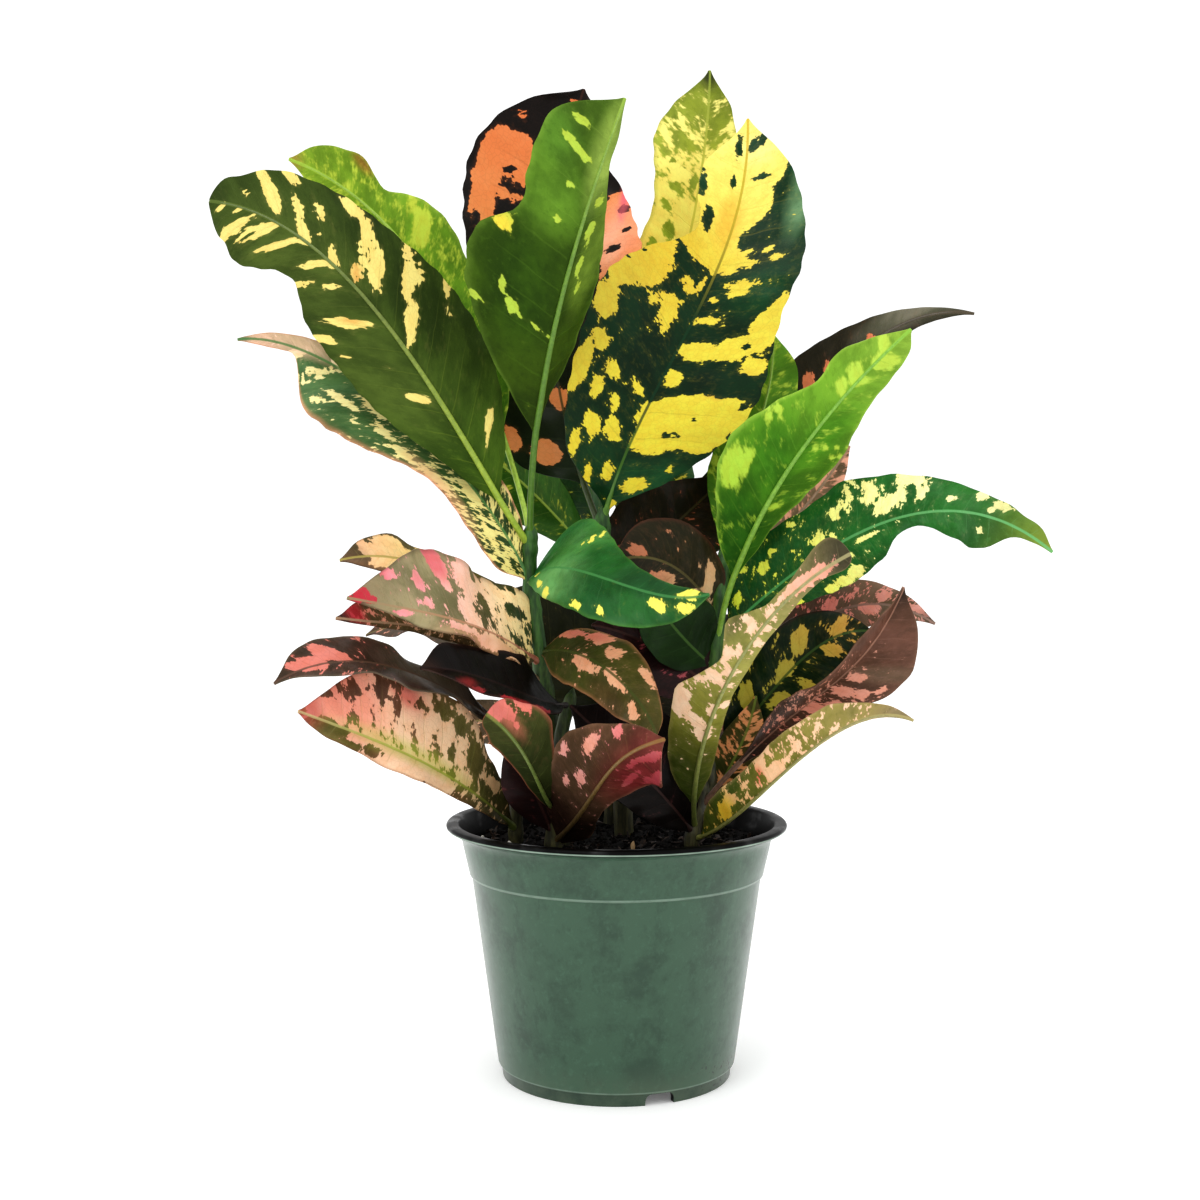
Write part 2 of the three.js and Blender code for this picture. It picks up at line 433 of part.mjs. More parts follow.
// The soil: it fills the pot to a little below the rim, and its top is uneven
function soil() {
  const floor = FOOT_HEIGHT + FLOOR_THICKNESS + SOIL_GAP;
  const corner = 2 * FLOOR_CORNER;
  const belowLedge = STEP_HEIGHT - FLOOR_CORNER;
  const edgeHeight = SOIL_HEIGHT - SOIL_EDGE_DROP;
  const edge = insideRadius(edgeHeight) - SOIL_GAP;
  const profile = [[0, floor], [insideRadius(floor) - corner, floor],
    [insideRadius(floor + corner) - SOIL_GAP, floor + corner],
    [insideRadius(belowLedge) - SOIL_GAP, belowLedge], [edge, edgeHeight]];
  for (let i = SOIL_RINGS - 1; i >= 0; i -= 1) profile.push([(edge * i) / SOIL_RINGS, SOIL_HEIGHT]);
  const fill = new THREE.LatheGeometry(profile.map(([r, z]) => new THREE.Vector2(r, z)), POT_SIDES);
  fill.rotateX(Math.PI / 2);
  const points = fill.attributes.position;
  for (let i = 0; i < points.count; i += 1) {
    const [x, y, z] = [points.getX(i), points.getY(i), points.getZ(i)];
    if (z > edgeHeight + 1) points.setZ(i, SOIL_HEIGHT + soilRise(x, y));
  }
  let body = solid(fill);
  for (const stem of STEMS) {
    body = body.subtract(solid(stemGeometry(stem, HOLE_GAP, HOLE_SIDES, HOLE_FLOOR_GAP)));
  }
  return body;
}

// Low lumps in the soil's surface
function soilRise(x, y) {
  return SOIL_LUMP_HEIGHT * (Math.sin(x / 6.1 + 1) * Math.cos(y / 7.3) + 0.6 * Math.sin(x / 3.7 + y / 4.9));
}

const plant = new THREE.Group();
const potPlastic = new THREE.MeshStandardMaterial({ color: 0x2f6a55, roughness: 0.5, metalness: 0 });
const soilCrumb = new THREE.MeshStandardMaterial({ color: 0x1d1713, roughness: 1, metalness: 0 });
const leafGreen = new THREE.MeshStandardMaterial({ color: 0x5f8a2f, roughness: 0.45, metalness: 0 });
plant.add(meshOf('pot', pot(), potPlastic));
plant.add(meshOf('soil', soil(), soilCrumb));
for (const stem of STEMS) {
  let body = solid(stemGeometry(stem, 0, STEM_SIDES, 0));
  for (const spec of stem.leaves) body = body.add(solid(leafGeometry(stem, spec)));
  plant.add(meshOf(stem.name, body, leafGreen));
}

export default plant;
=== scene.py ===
"""Looks of the potted croton: a green nursery pot, dark soil and seven leafy stems, in metres."""

import math
import random

import bpy
import numpy as np
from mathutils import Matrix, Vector, noise


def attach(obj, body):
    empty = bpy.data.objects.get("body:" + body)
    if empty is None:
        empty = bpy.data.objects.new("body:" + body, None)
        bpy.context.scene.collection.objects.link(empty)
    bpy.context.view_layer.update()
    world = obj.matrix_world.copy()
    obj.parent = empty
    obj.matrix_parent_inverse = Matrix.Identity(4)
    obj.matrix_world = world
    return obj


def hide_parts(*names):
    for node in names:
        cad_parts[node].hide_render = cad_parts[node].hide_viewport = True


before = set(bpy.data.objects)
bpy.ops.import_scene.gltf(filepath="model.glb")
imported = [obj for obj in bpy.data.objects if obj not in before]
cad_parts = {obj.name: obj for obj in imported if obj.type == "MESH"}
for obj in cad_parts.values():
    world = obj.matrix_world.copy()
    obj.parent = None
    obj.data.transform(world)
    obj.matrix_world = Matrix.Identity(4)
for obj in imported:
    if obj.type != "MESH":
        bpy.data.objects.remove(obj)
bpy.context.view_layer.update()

# The studio: a pale floor under soft white lamps, and the camera in front of the pot.
# The camera stands a little left of the pot's axis and looks slightly down.
MM = 0.001
WHITE = (1, 1, 1, 1)
FLOOR_SIZE = 60
FLOOR_LOOK = {"Base Color": (0.96, 0.96, 0.96, 1), "Roughness": 0.9,
              "Emission Color": WHITE, "Emission Strength": 0.12}
CAMERA_PLACE = (-0.008, -0.85, 0.267)
CAMERA_TILT = math.radians(87.5)
CAMERA_LENS = 52.8
CAMERA_SENSOR = 36
WORLD_LIGHT = 0.96
SOFT_LAMPS = (
    ("key_lamp", (-0.7, -1.2, 1.6), 0.9, 8),
    ("fill_lamp", (1.3, -1.0, 0.8), 1.3, 2),
    ("top_lamp", (0.1, 0.3, 1.9), 1.0, 6),
)
PLANT_MIDDLE = Vector((0, 0, 0.25))


def deselect_all():
    if bpy.context.mode != "OBJECT":
        bpy.ops.object.mode_set(mode="OBJECT")
    bpy.ops.object.select_all(action="DESELECT")


def linear(text):
    """Colour that a material takes, from the six digits that a painter would mix it by."""
    shares = [int(text[i:i + 2], 16) / 255 for i in (0, 2, 4)]
    return tuple(share / 12.92 if share <= 0.04045 else ((share + 0.055) / 1.055) ** 2.4
                 for share in shares)


deselect_all()
bpy.ops.object.camera_add(location=CAMERA_PLACE, rotation=(CAMERA_TILT, 0, 0))
camera = bpy.context.object
camera.data.sensor_fit = "HORIZONTAL"
camera.data.sensor_width = CAMERA_SENSOR
camera.data.lens = CAMERA_LENS
bpy.context.scene.camera = camera
bpy.context.scene.view_settings.view_transform = "Standard"
bpy.context.scene.view_settings.look = "Medium High Contrast"

for lamp_name, place, size, watts in SOFT_LAMPS:
    turn = (PLANT_MIDDLE - Vector(place)).to_track_quat("-Z", "Y").to_euler()
    bpy.ops.object.light_add(type="AREA", location=place, rotation=turn)
    lamp = bpy.context.object
    lamp.name = lamp_name
    lamp.data.size = size
    lamp.data.energy = watts

sky = bpy.data.worlds.new("studio_air")
sky.use_nodes = True
sky.node_tree.nodes["Background"].inputs["Color"].default_value = WHITE
sky.node_tree.nodes["Background"].inputs["Strength"].default_value = WORLD_LIGHT
bpy.context.scene.world = sky

deselect_all()
bpy.ops.mesh.primitive_plane_add(size=FLOOR_SIZE)
floor = bpy.context.object
floor.name = "studio_floor"
floor_paint = bpy.data.materials.new("floor_paint")
floor_paint.use_nodes = True
for socket_name, value in FLOOR_LOOK.items():
    floor_paint.node_tree.nodes["Principled BSDF"].inputs[socket_name].default_value = value
floor.data.materials.append(floor_paint)

# The pot: a tapered round nursery pot, blown in polypropylene with a green outside and a black inside.
# It has a flat flared rim, one step below it, and a foot ring with three drainage notches.
POT_STEPS = 144
POT_TOP = 123
RIM_RADIUS = 82.5
MOUTH_RADIUS = 76.5
RIM_THICKNESS = 2.6
WALL = 1.4
COLLAR_TOP = 112
COLLAR_RADIUS = 74.4
STEP_HEIGHT = 98
STEP_RADIUS = 71.2
BELOW_STEP_RADIUS = 70.1
FOOT_HEIGHT = 6
BASE_RADIUS = 57.6
FOOT_RADIUS = 55.4
FOOT_INSIDE = 51.8
FLOOR_TOP = 7.6
EDGE_ROUNDING = 0.35
EDGE_SEGMENTS = 2
ROUNDED_OVER = math.radians(28)
NOTCH_SIZE = (14, 14, 10.4)
NOTCH_RADIUS = FOOT_RADIUS - 1.8
NOTCH_ROUNDING = 3
NOTCH_SEGMENTS = 5
NOTCH_BEARINGS = (20.7, 140.7, 260.7)
SMOOTH_UNDER = math.radians(32)
MERGED_UNDER = 0.02
COLOUR_MARGIN = 0.3


class Wire:
    """A value on its way through a finish, so that its maths reads as Python."""

    def __init__(self, finish, socket):
        self.finish = finish
        self.socket = socket

    def maths(self, operation, *values):
        return self.finish.node("ShaderNodeMath", {"operation": operation}, dict(enumerate(values)))

    def __add__(self, other):
        return self.maths("ADD", self, other)

    def __sub__(self, other):
        return self.maths("SUBTRACT", self, other)

    def __rsub__(self, other):
        return self.maths("SUBTRACT", other, self)

    def __mul__(self, other):
        return self.maths("MULTIPLY", self, other)

    def __abs__(self):
        return self.maths("ABSOLUTE", self)

    __radd__ = __add__
    __rmul__ = __mul__

    def atop(self, other):
        return self.maths("MAXIMUM", self, other)

    def fraction(self):
        return self.maths("FRACT", self)


class Finish:
    """A material that is put together node by node on one Principled shader."""

    def __init__(self, name, roughness=0.5, coat=0.0, coat_roughness=0.2, shine=0.5):
        self.material = bpy.data.materials.new(name)
        self.material.use_nodes = True
        self.tree = self.material.node_tree
        self.shader = self.tree.nodes["Principled BSDF"]
        self.put("Roughness", roughness)
        self.put("Coat Weight", coat)
        self.put("Coat Roughness", coat_roughness)
        self.put("Specular IOR Level", shine)

    def put(self, socket_name, value):
        self.join(value, self.shader.inputs[socket_name])

    def join(self, value, socket):
        if isinstance(value, Wire):
            self.tree.links.new(value.socket, socket)
        elif hasattr(value, "__len__") and len(value) == 3 and socket.type == "RGBA":
            socket.default_value = (*value, 1)
        else:
            socket.default_value = value

    def node(self, kind, settings, values, output=0):
        made = self.tree.nodes.new(kind)
        for key, setting in settings.items():
            setattr(made, key, setting)
        for key, value in values.items():
            self.join(value, made.inputs[key])
        return Wire(self, made.outputs[output])

    def place(self):
        """Where a point is on its piece, in metres."""
        return self.node("ShaderNodeTexCoord", {}, {}, "Object")

    def axis(self, vector, letter):
        return self.node("ShaderNodeSeparateXYZ", {}, {0: vector}, letter)

    def painted(self, name, output):
        """What the mesh itself holds at each point under that name."""
        return self.node("ShaderNodeAttribute", {"attribute_name": name}, {}, output)

    def mix(self, share, first, second, blend="MIX"):
        settings = {"data_type": "RGBA", "blend_type": blend}
        return self.node("ShaderNodeMix", settings, {0: share, 6: first, 7: second}, 2)

    def tinted(self, colour, tint):
        return self.mix(1, colour, tint, "MULTIPLY")

    def rise(self, value, low, high):
        """0 below low, 1 above high, and a soft slope between them."""
        settings = {"interpolation_type": "SMOOTHSTEP"}
        return self.node("ShaderNodeMapRange", settings, {"Value": value, "From Min": low, "From Max": high})

    def stretch(self, vector, scale):
        return self.node("ShaderNodeVectorMath", {"operation": "MULTIPLY"}, {0: vector, 1: scale})

    def grain(self, vector, scale, detail, rough):
        values = {"Vector": vector, "Scale": scale, "Detail": detail, "Roughness": rough}
        return self.node("ShaderNodeTexNoise", {}, values, "Fac")

    def bump(self, height, strength, distance):
        values = {"Height": height, "Strength": strength, "Distance": distance}
        self.put("Normal", self.node("ShaderNodeBump", {}, values))


def activate(piece):
    """Selects this piece alone, as the one that the next operator works on."""
    deselect_all()
    piece.select_set(True)
    bpy.context.view_layer.objects.active = piece


def close_up(merged_under):
    """Merges doubles of the piece in edit mode, turns its faces outwards and leaves edit mode."""
    bpy.ops.mesh.select_all(action="SELECT")
    bpy.ops.mesh.remove_doubles(threshold=merged_under * MM)
    bpy.ops.mesh.normals_make_consistent(inside=False)
    bpy.ops.object.mode_set(mode="OBJECT")


def spun(name, profile, steps):
    """A closed shape turned about the pot's axis from its profile of radius and height in mm."""
    deselect_all()
    bpy.ops.mesh.primitive_plane_add(size=MM)
    piece = bpy.context.object
    piece.name = name
    bpy.ops.object.mode_set(mode="EDIT")
    bpy.ops.mesh.select_mode(type="VERT")
    bpy.ops.mesh.select_all(action="SELECT")
    bpy.ops.mesh.merge(type="CENTER")
    here = Vector((0, 0, 0))
    for number, (radius, height) in enumerate(profile):
        there = Vector((radius * MM, 0, height * MM))
        if number == 0:
            bpy.ops.transform.translate(value=there - here)
        else:
            bpy.ops.mesh.extrude_vertices_move(TRANSFORM_OT_translate={"value": there - here})
        here = there
    bpy.ops.mesh.select_all(action="SELECT")
    bpy.ops.mesh.spin(steps=steps, angle=2 * math.pi, center=(0, 0, 0), axis=(0, 0, 1))
    close_up(MERGED_UNDER)
    return piece


def apply_modifier(piece, kind, **settings):
    """Adds a modifier and applies it at once, as a maker would."""
    activate(piece)
    modifier = piece.modifiers.new(kind.lower(), kind)
    for key, value in settings.items():
        setattr(modifier, key, value)
    bpy.ops.object.modifier_apply(modifier=modifier.name)


def cut_away(piece, cutter):
    """Cuts the cutter's shape out of the piece and takes the cutter away."""
    apply_modifier(piece, "BOOLEAN", operation="DIFFERENCE", object=cutter, solver="EXACT")
    bpy.data.objects.remove(cutter)


def inside_radius(height):
    """Radius in mm of the inside of the pot's wall."""
    if height > STEP_HEIGHT:
        share = (height - STEP_HEIGHT) / (COLLAR_TOP - STEP_HEIGHT)
        return STEP_RADIUS + (COLLAR_RADIUS - STEP_RADIUS) * share - WALL
    share = (height - FOOT_HEIGHT) / (STEP_HEIGHT - FOOT_HEIGHT)
    return BASE_RADIUS + (BELOW_STEP_RADIUS - BASE_RADIUS) * share - WALL


POT_PROFILE = (
    (0, FOOT_HEIGHT), (FOOT_INSIDE, FOOT_HEIGHT), (FOOT_INSIDE, 0), (FOOT_RADIUS, 0),
    (FOOT_RADIUS + 0.5, FOOT_HEIGHT - 0.4), (BASE_RADIUS - 0.4, FOOT_HEIGHT),
    (BASE_RADIUS, FOOT_HEIGHT + 0.9), (BELOW_STEP_RADIUS, STEP_HEIGHT - 0.9),
    (STEP_RADIUS, STEP_HEIGHT), (COLLAR_RADIUS, COLLAR_TOP),
    (COLLAR_RADIUS + 0.5, 114.6), (COLLAR_RADIUS + 1.7, 117), (COLLAR_RADIUS + 3.8, 119),
    (RIM_RADIUS - 1.6, POT_TOP - RIM_THICKNESS - 0.6), (RIM_RADIUS - 0.2, POT_TOP - RIM_THICKNESS + 0.2),
    (RIM_RADIUS, POT_TOP - 1.2), (RIM_RADIUS - 0.6, POT_TOP - 0.3), (RIM_RADIUS - 1.6, POT_TOP),
    (MOUTH_RADIUS + 1.4, POT_TOP), (MOUTH_RADIUS + 0.3, POT_TOP - 0.4), (MOUTH_RADIUS - 0.3, POT_TOP - 1.6),
    (inside_radius(COLLAR_TOP), COLLAR_TOP), (inside_radius(98.4), 98.4), (inside_radius(97.4), 97.4),
    (inside_radius(9), 9), (inside_radius(8) - 0.6, FLOOR_TOP), (0, FLOOR_TOP),
)
pot = spun("nursery_pot", POT_PROFILE, POT_STEPS)
for bearing in NOTCH_BEARINGS:
    deselect_all()
    bpy.ops.mesh.primitive_cube_add(size=MM)
    cutter = bpy.context.object
    cutter.scale = NOTCH_SIZE
    cutter.location = (0, -NOTCH_RADIUS * MM, 0)
    bpy.ops.object.transform_apply(location=True, scale=True)
    bpy.ops.object.mode_set(mode="EDIT")
    bpy.ops.mesh.select_mode(type="EDGE")
    bpy.ops.mesh.select_all(action="DESELECT")
    bpy.ops.object.mode_set(mode="OBJECT")
    for edge in cutter.data.edges:
        ends = [cutter.data.vertices[v].co for v in edge.vertices]
        edge.select = min(ends[0].z, ends[1].z) > 0 and abs(ends[0].y - ends[1].y) > MM
    bpy.ops.object.mode_set(mode="EDIT")
    bpy.ops.mesh.bevel(offset=NOTCH_ROUNDING * MM, segments=NOTCH_SEGMENTS)
    bpy.ops.object.mode_set(mode="OBJECT")
    cutter.rotation_euler = (0, 0, math.radians(bearing))
    bpy.ops.object.transform_apply(rotation=True)
    cut_away(pot, cutter)
apply_modifier(pot, "BEVEL", width=EDGE_ROUNDING * MM, segments=EDGE_SEGMENTS, limit_method="ANGLE",
               angle_limit=ROUNDED_OVER)
bpy.ops.object.shade_smooth_by_angle(angle=SMOOTH_UNDER)

# The pot's green plastic: clouded and mottled, with painted highlight lines along the step and the top of
# the foot, painted shade on the recessed foot ring, dusty low down and speckled with dirt at the right.
# Grains are a noise's scale, detail and roughness, over metres.
POT_GREEN = linear("33513d")
POT_GREEN_DARK = linear("223c2c")
POT_GREEN_PALE = linear("436650")
POT_DUST = linear("6f8068")
POT_FOOT_SHADE = linear("16261c")
# The palest colour paints highlight lines on the pot's edges.
POT_HIGHLIGHT = linear("a9bfae")
DIRT = linear("17110d")
CLOUD_GRAIN = (48, 6, 0.68)
MOTTLE_GRAIN = (260, 3, 0.7)
RUB_GRAIN = (95, 6, 0.72)
RUB_STRETCH = (1, 1, 0.6)
SPECK_GRAIN = (620, 2, 0.5)
FOOT_SHADE = (FOOT_HEIGHT * MM, (FOOT_HEIGHT - 0.8) * MM)
DUST_HEIGHTS = (0.022, 0.0)
SPECK_HEIGHTS = (0.03, 0.008)
SPECK_SIDE = (0.02, 0.06)
STEP_HIGHLIGHT_BAND = (0.0009, 0.0004)
FOOT_HIGHLIGHT_HEIGHT = FOOT_HEIGHT + 0.5
HIGHLIGHT_LINE_BAND = (0.0006, 0.0002)
RELIEF = 0.0006

green_plastic = Finish("green_plastic", roughness=0.42, coat=0.6, coat_roughness=0.2, shine=0.2)
place = green_plastic.place()
height = green_plastic.axis(place, "Z")
sideways = green_plastic.axis(place, "X")
clouds = green_plastic.grain(place, *CLOUD_GRAIN)
mottle = green_plastic.grain(place, *MOTTLE_GRAIN)
rubs = green_plastic.grain(green_plastic.stretch(place, RUB_STRETCH), *RUB_GRAIN)
colour = green_plastic.mix(green_plastic.rise(clouds, 0.44, 0.68) * 0.8, POT_GREEN, POT_GREEN_DARK)
colour = green_plastic.mix(green_plastic.rise(mottle, 0.5, 0.8) * 0.4, colour, POT_GREEN_PALE)
colour = green_plastic.mix(green_plastic.rise(rubs, 0.52, 0.7) * 0.6, colour, POT_GREEN_DARK)
# Painted shade: the recessed foot ring is darkened.
colour = green_plastic.mix(green_plastic.rise(height, *FOOT_SHADE) * 0.6, colour, POT_FOOT_SHADE)
dust_share = green_plastic.rise(height, *DUST_HEIGHTS) * green_plastic.rise(clouds, 0.3, 0.7) * 0.35
colour = green_plastic.mix(dust_share, colour, POT_DUST)
specks = green_plastic.grain(place, *SPECK_GRAIN)
speck_zone = green_plastic.rise(height, *SPECK_HEIGHTS) * green_plastic.rise(sideways, *SPECK_SIDE)
speck_share = green_plastic.rise(specks + speck_zone * 0.16, 0.72, 0.75) * speck_zone
colour = green_plastic.mix(speck_share, colour, DIRT)
# Painted highlights: a broken pale line along the step's edge, and one along the top of the foot.
step_highlight = green_plastic.rise(abs(height - STEP_HEIGHT * MM), *STEP_HIGHLIGHT_BAND) * (0.05 + rubs * 0.45)
foot_highlight = green_plastic.rise(abs(height - FOOT_HIGHLIGHT_HEIGHT * MM), *HIGHLIGHT_LINE_BAND) * (rubs * 0.4)
green_plastic.put("Base Color", green_plastic.mix(step_highlight.atop(foot_highlight), colour, POT_HIGHLIGHT))
green_plastic.put("Roughness", 0.36 + clouds * 0.2)
green_plastic.bump(mottle + rubs * 0.6, 0.12, RELIEF)

# The pot's black inside and rim: smoother plastic with smears, and a painted highlight, a broken pale line,
# under the rim's lip.
# The outside's faces take the green, and all others the black.
POT_BLACK = linear("0b0b0b")
POT_GREY = linear("1e1f1f")
SMEAR_GRAIN = (60, 4, 0.6)
LIP_HIGHLIGHT_HEIGHT = 120.7
LIP_HIGHLIGHT_RADII = (0.0805, 0.0815)
FLAT = (1, 1, 0)

black_plastic = Finish("black_plastic", roughness=0.3, coat_roughness=0.12, shine=0.06)
place = black_plastic.place()
smears = black_plastic.grain(place, *SMEAR_GRAIN)
colour = black_plastic.mix(black_plastic.rise(smears, 0.45, 0.75), POT_BLACK, POT_GREY)
height = black_plastic.axis(place, "Z")
outwards = black_plastic.node("ShaderNodeVectorMath", {"operation": "LENGTH"},
                              {0: black_plastic.stretch(place, FLAT)}, "Value")
# Painted highlight: a broken pale line just under the rim's lip.
lip_highlight = black_plastic.rise(abs(height - LIP_HIGHLIGHT_HEIGHT * MM), *HIGHLIGHT_LINE_BAND)
lip_highlight = lip_highlight * black_plastic.rise(outwards, *LIP_HIGHLIGHT_RADII) * (0.2 + smears * 0.8)
black_plastic.put("Base Color", black_plastic.mix(lip_highlight, colour, POT_HIGHLIGHT))
black_plastic.put("Roughness", 0.25 + smears * 0.25)
black_plastic.put("Coat Weight", black_plastic.rise(smears, 0.48, 0.68) * 0.35)
black_plastic.bump(smears, 0.1, RELIEF)

pot.data.materials.append(green_plastic.material)
pot.data.materials.append(black_plastic.material)
for face in pot.data.polygons:
    level = face.center.z / MM
    away = math.hypot(face.center.x, face.center.y)
    outward = face.normal.x * face.center.x + face.normal.y * face.center.y > -0.1 * MM
    underneath = level < FOOT_HEIGHT + COLOUR_MARGIN and away < (FOOT_INSIDE + 1) * MM
    outside = outward and level < POT_TOP - RIM_THICKNESS - COLOUR_MARGIN and not underneath
    face.material_index = 0 if outside else 1
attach(pot, "root")
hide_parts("pot")

# The stems' paths, from their holes in the soil upwards, in mm, with the radii at the bottom and the top.
# The soil needs them for its holes, and each stem is made from its own path further down.
STEM_PATHS = {
    "stem_left": ([(-24, -2, 76), (-26, -4, 112), (-30, -10, 160), (-36, -15, 200), (-41, -16, 240),
                   (-41, -17, 262)], (5, 3.4)),
    "stem_right": ([(40, 12, 76), (42, 10, 112), (46, 2, 160), (47, -8, 200), (50, -8, 235), (52, -2, 252)],
                   (5, 3.2)),
    "stem_centre": ([(4, 26, 76), (4, 26, 112), (0, 24, 180), (-6, 14, 240), (-7, 9, 269)], (5.2, 3.6)),
    "stem_front": ([(-30, -20, 76), (-30, -21, 112), (-29, -26, 140), (-26, -28, 168), (-22, -26, 184)],
                   (4.4, 3)),
    "stem_low_left": ([(-48, 2, 84), (-49, 1, 112), (-48, -3, 140), (-46, -8, 166)], (3.8, 2.8)),
    "stem_low_right": ([(36, -12, 80), (36, -12, 112), (38, -12, 124), (42, -8, 138)], (4, 2.8)),
    "stem_back": ([(-2, 50, 78), (-2, 50, 112), (2, 46, 160), (4, 42, 205), (4, 40, 240)], (4.6, 3.2)),
}

# The soil: damp black peat with bark, filled to about 11 mm below the rim, a little lower at the wall.
# Each stem stands in a plain hole in it. LUMPS are sizes across in mm, layers of the noise and heights.
SOIL_HEIGHT = 112
SOIL_EDGE_HEIGHT = 110
SOIL_BOTTOM = 7.95
SOIL_GAP = 0.35
SOIL_STEPS = 168
SOIL_RINGS = 58
HOLE_GAP = 0.4
HOLE_POINTS = 3
HOLE_ROUNDS = 4
BELOW_HOLE = 0.5
LUMP_HEIGHT = 0.85
WIDE_LUMP = (6.1, 7.3)
SMALL_LUMP = (3.7, 4.9)
SMALL_LUMP_SHARE = 0.6
LUMPS = ((4.2, 3, 0.9), (1.9, 8, 0.55))
TUBE_MERGED_UNDER = 0.003
PEAT = linear("080605")
PEAT_LIGHT = linear("1a130e")
CRUMBLE_GRAIN = (700, 4, 0.7)
PEAT_PATCH_GRAIN = (120, 3, 0.6)
SOIL_SMOOTH_UNDER = math.radians(60)


def soil_rise(x, y):
    """Low lumps in the soil's surface, the same as the solid's, in mm."""
    wide = math.sin(x / WIDE_LUMP[0] + 1) * math.cos(y / WIDE_LUMP[1])
    return LUMP_HEIGHT * (wide + SMALL_LUMP_SHARE * math.sin(x / SMALL_LUMP[0] + y / SMALL_LUMP[1]))


def tube(name, points, radii, rounds):
    """A round bar along points in mm, with a radius in mm at each, and closed ends."""
    curve = bpy.data.curves.new(name, "CURVE")
    curve.dimensions = "3D"
    curve.bevel_depth = MM
    curve.bevel_resolution = rounds
    curve.use_fill_caps = True
    strand = curve.splines.new("POLY")
    strand.points.add(len(points) - 1)
    for spot, point, radius in zip(strand.points, points, radii):
        spot.co = (point[0] * MM, point[1] * MM, point[2] * MM, 1)
        spot.radius = radius
    bar = bpy.data.objects.new(name, curve)
    bpy.context.collection.objects.link(bar)
    activate(bar)
    bpy.ops.object.convert(target="MESH")
    bar = bpy.context.object
    bpy.ops.object.mode_set(mode="EDIT")
    close_up(TUBE_MERGED_UNDER)
    return bar


edge_radius = inside_radius(SOIL_EDGE_HEIGHT) - SOIL_GAP
SOIL_PROFILE = [(0, SOIL_BOTTOM), (inside_radius(8) - 2, SOIL_BOTTOM),
                (inside_radius(10) - SOIL_GAP, SOIL_BOTTOM + 2), (inside_radius(97) - SOIL_GAP, 97),
                (edge_radius, SOIL_EDGE_HEIGHT)]
SOIL_PROFILE += [(edge_radius * ring / SOIL_RINGS, SOIL_HEIGHT) for ring in range(SOIL_RINGS - 2, -1, -1)]
soil = spun("potting_soil_fill", SOIL_PROFILE, SOIL_STEPS)
for vertex in soil.data.vertices:
    if vertex.co.z > (SOIL_EDGE_HEIGHT + 1) * MM:
        x, y = vertex.co.x / MM, vertex.co.y / MM
        lumps, bits = (noise.noise(Vector((x / across, y / across, layer))) * tall
                       for across, layer, tall in LUMPS)
        vertex.co.z += (soil_rise(x, y) + lumps + bits) * MM
for path, (bottom, top) in STEM_PATHS.values():
    low = path[0][2]
    high = path[-1][2]
    radii = [bottom + (top - bottom) * (point[2] - low) / (high - low) + HOLE_GAP for point in path]
    sunk = [(path[0][0], path[0][1], low - BELOW_HOLE)] + list(path[1:HOLE_POINTS])
    cut_away(soil, tube("hole_cutter", sunk, radii[:HOLE_POINTS], HOLE_ROUNDS))

peat = Finish("damp_peat", roughness=0.85, shine=0.1)
place = peat.place()
crumble = peat.grain(place, *CRUMBLE_GRAIN)
patches = peat.grain(place, *PEAT_PATCH_GRAIN)
peat.put("Base Color", peat.mix(peat.rise(crumble * 0.6 + patches * 0.4, 0.45, 0.7), PEAT, PEAT_LIGHT))
peat.put("Roughness", 0.7 + patches * 0.3)
peat.bump(crumble, 0.8, RELIEF * 2)
soil.data.materials.append(peat.material)
bpy.context.view_layer.objects.active = soil
soil.select_set(True)
bpy.ops.object.shade_smooth_by_angle(angle=SOIL_SMOOTH_UNDER)
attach(soil, "root")
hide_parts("soil")

# Loose crumbs of peat fibre and flat chips of bark, as they lie on top of the soil.
# Each kind is modelled a few times, from its squash along each axis and a seed, and then copied, each copy
# with its own turn and size.
CRUMB_COUNT = 1900
CRUMB_SIZES = (0.5, 1.5)
CRUMB_LIFT = 0.2
CRUMB_SQUASHES = (((1, 0.8, 0.7), 11), ((1.3, 0.7, 0.5), 12), ((1, 1, 0.8), 13))
CHIP_COUNT = 260
CHIP_SIZES = (0.7, 1.5)
CHIP_LIFT = 0.35
CHIP_SQUASHES = (((2.6, 1.1, 0.35), 21), ((3.6, 0.6, 0.4), 22), ((2.0, 1.5, 0.4), 23))
KNOBBLES = (0.62, 1.2)
STREWN_SHARE = 0.985
LOW_EDGE_FROM = 0.95
LOW_EDGE_BAND = 0.05
LOW_EDGE = 1.4
WALL_CLEARANCE = 0.3
BARK_DARK = linear("1d140f")
BARK_LIGHT = linear("4a3626")
STREAK_GRAIN = (240, 3, 0.6)
STREAK_STRETCH = (1, 3, 1)


def crumb_shape(squash, seed, cuts=1):
    """One rough crumb about the origin, as (vertices, faces)."""
    deselect_all()
    bpy.ops.mesh.primitive_ico_sphere_add(subdivisions=cuts, radius=1)
    lump = bpy.context.object
    draw = random.Random(seed)
    for spot in lump.data.vertices:
        spot.co = Vector(spot.co[i] * squash[i] * draw.uniform(*KNOBBLES) for i in range(3))
    shape = (np.array([v.co[:] for v in lump.data.vertices]),
             np.array([f.vertices[:] for f in lump.data.polygons]))
    bpy.data.objects.remove(lump)
    return shape


def rotation(angle, first, second):
    """The matrix that turns the first axis towards the second one."""
    matrix = np.eye(3)
    matrix[first, first] = matrix[second, second] = math.cos(angle)
    matrix[second, first], matrix[first, second] = math.sin(angle), -math.sin(angle)
    return matrix


def turned(points, draw):
    """The points turned a random way."""
    spin, tip, roll = (draw.uniform(0, 2 * math.pi) for _ in range(3))
    return points @ (rotation(spin, 0, 1) @ rotation(tip, 1, 2) @ rotation(roll, 0, 1)).T


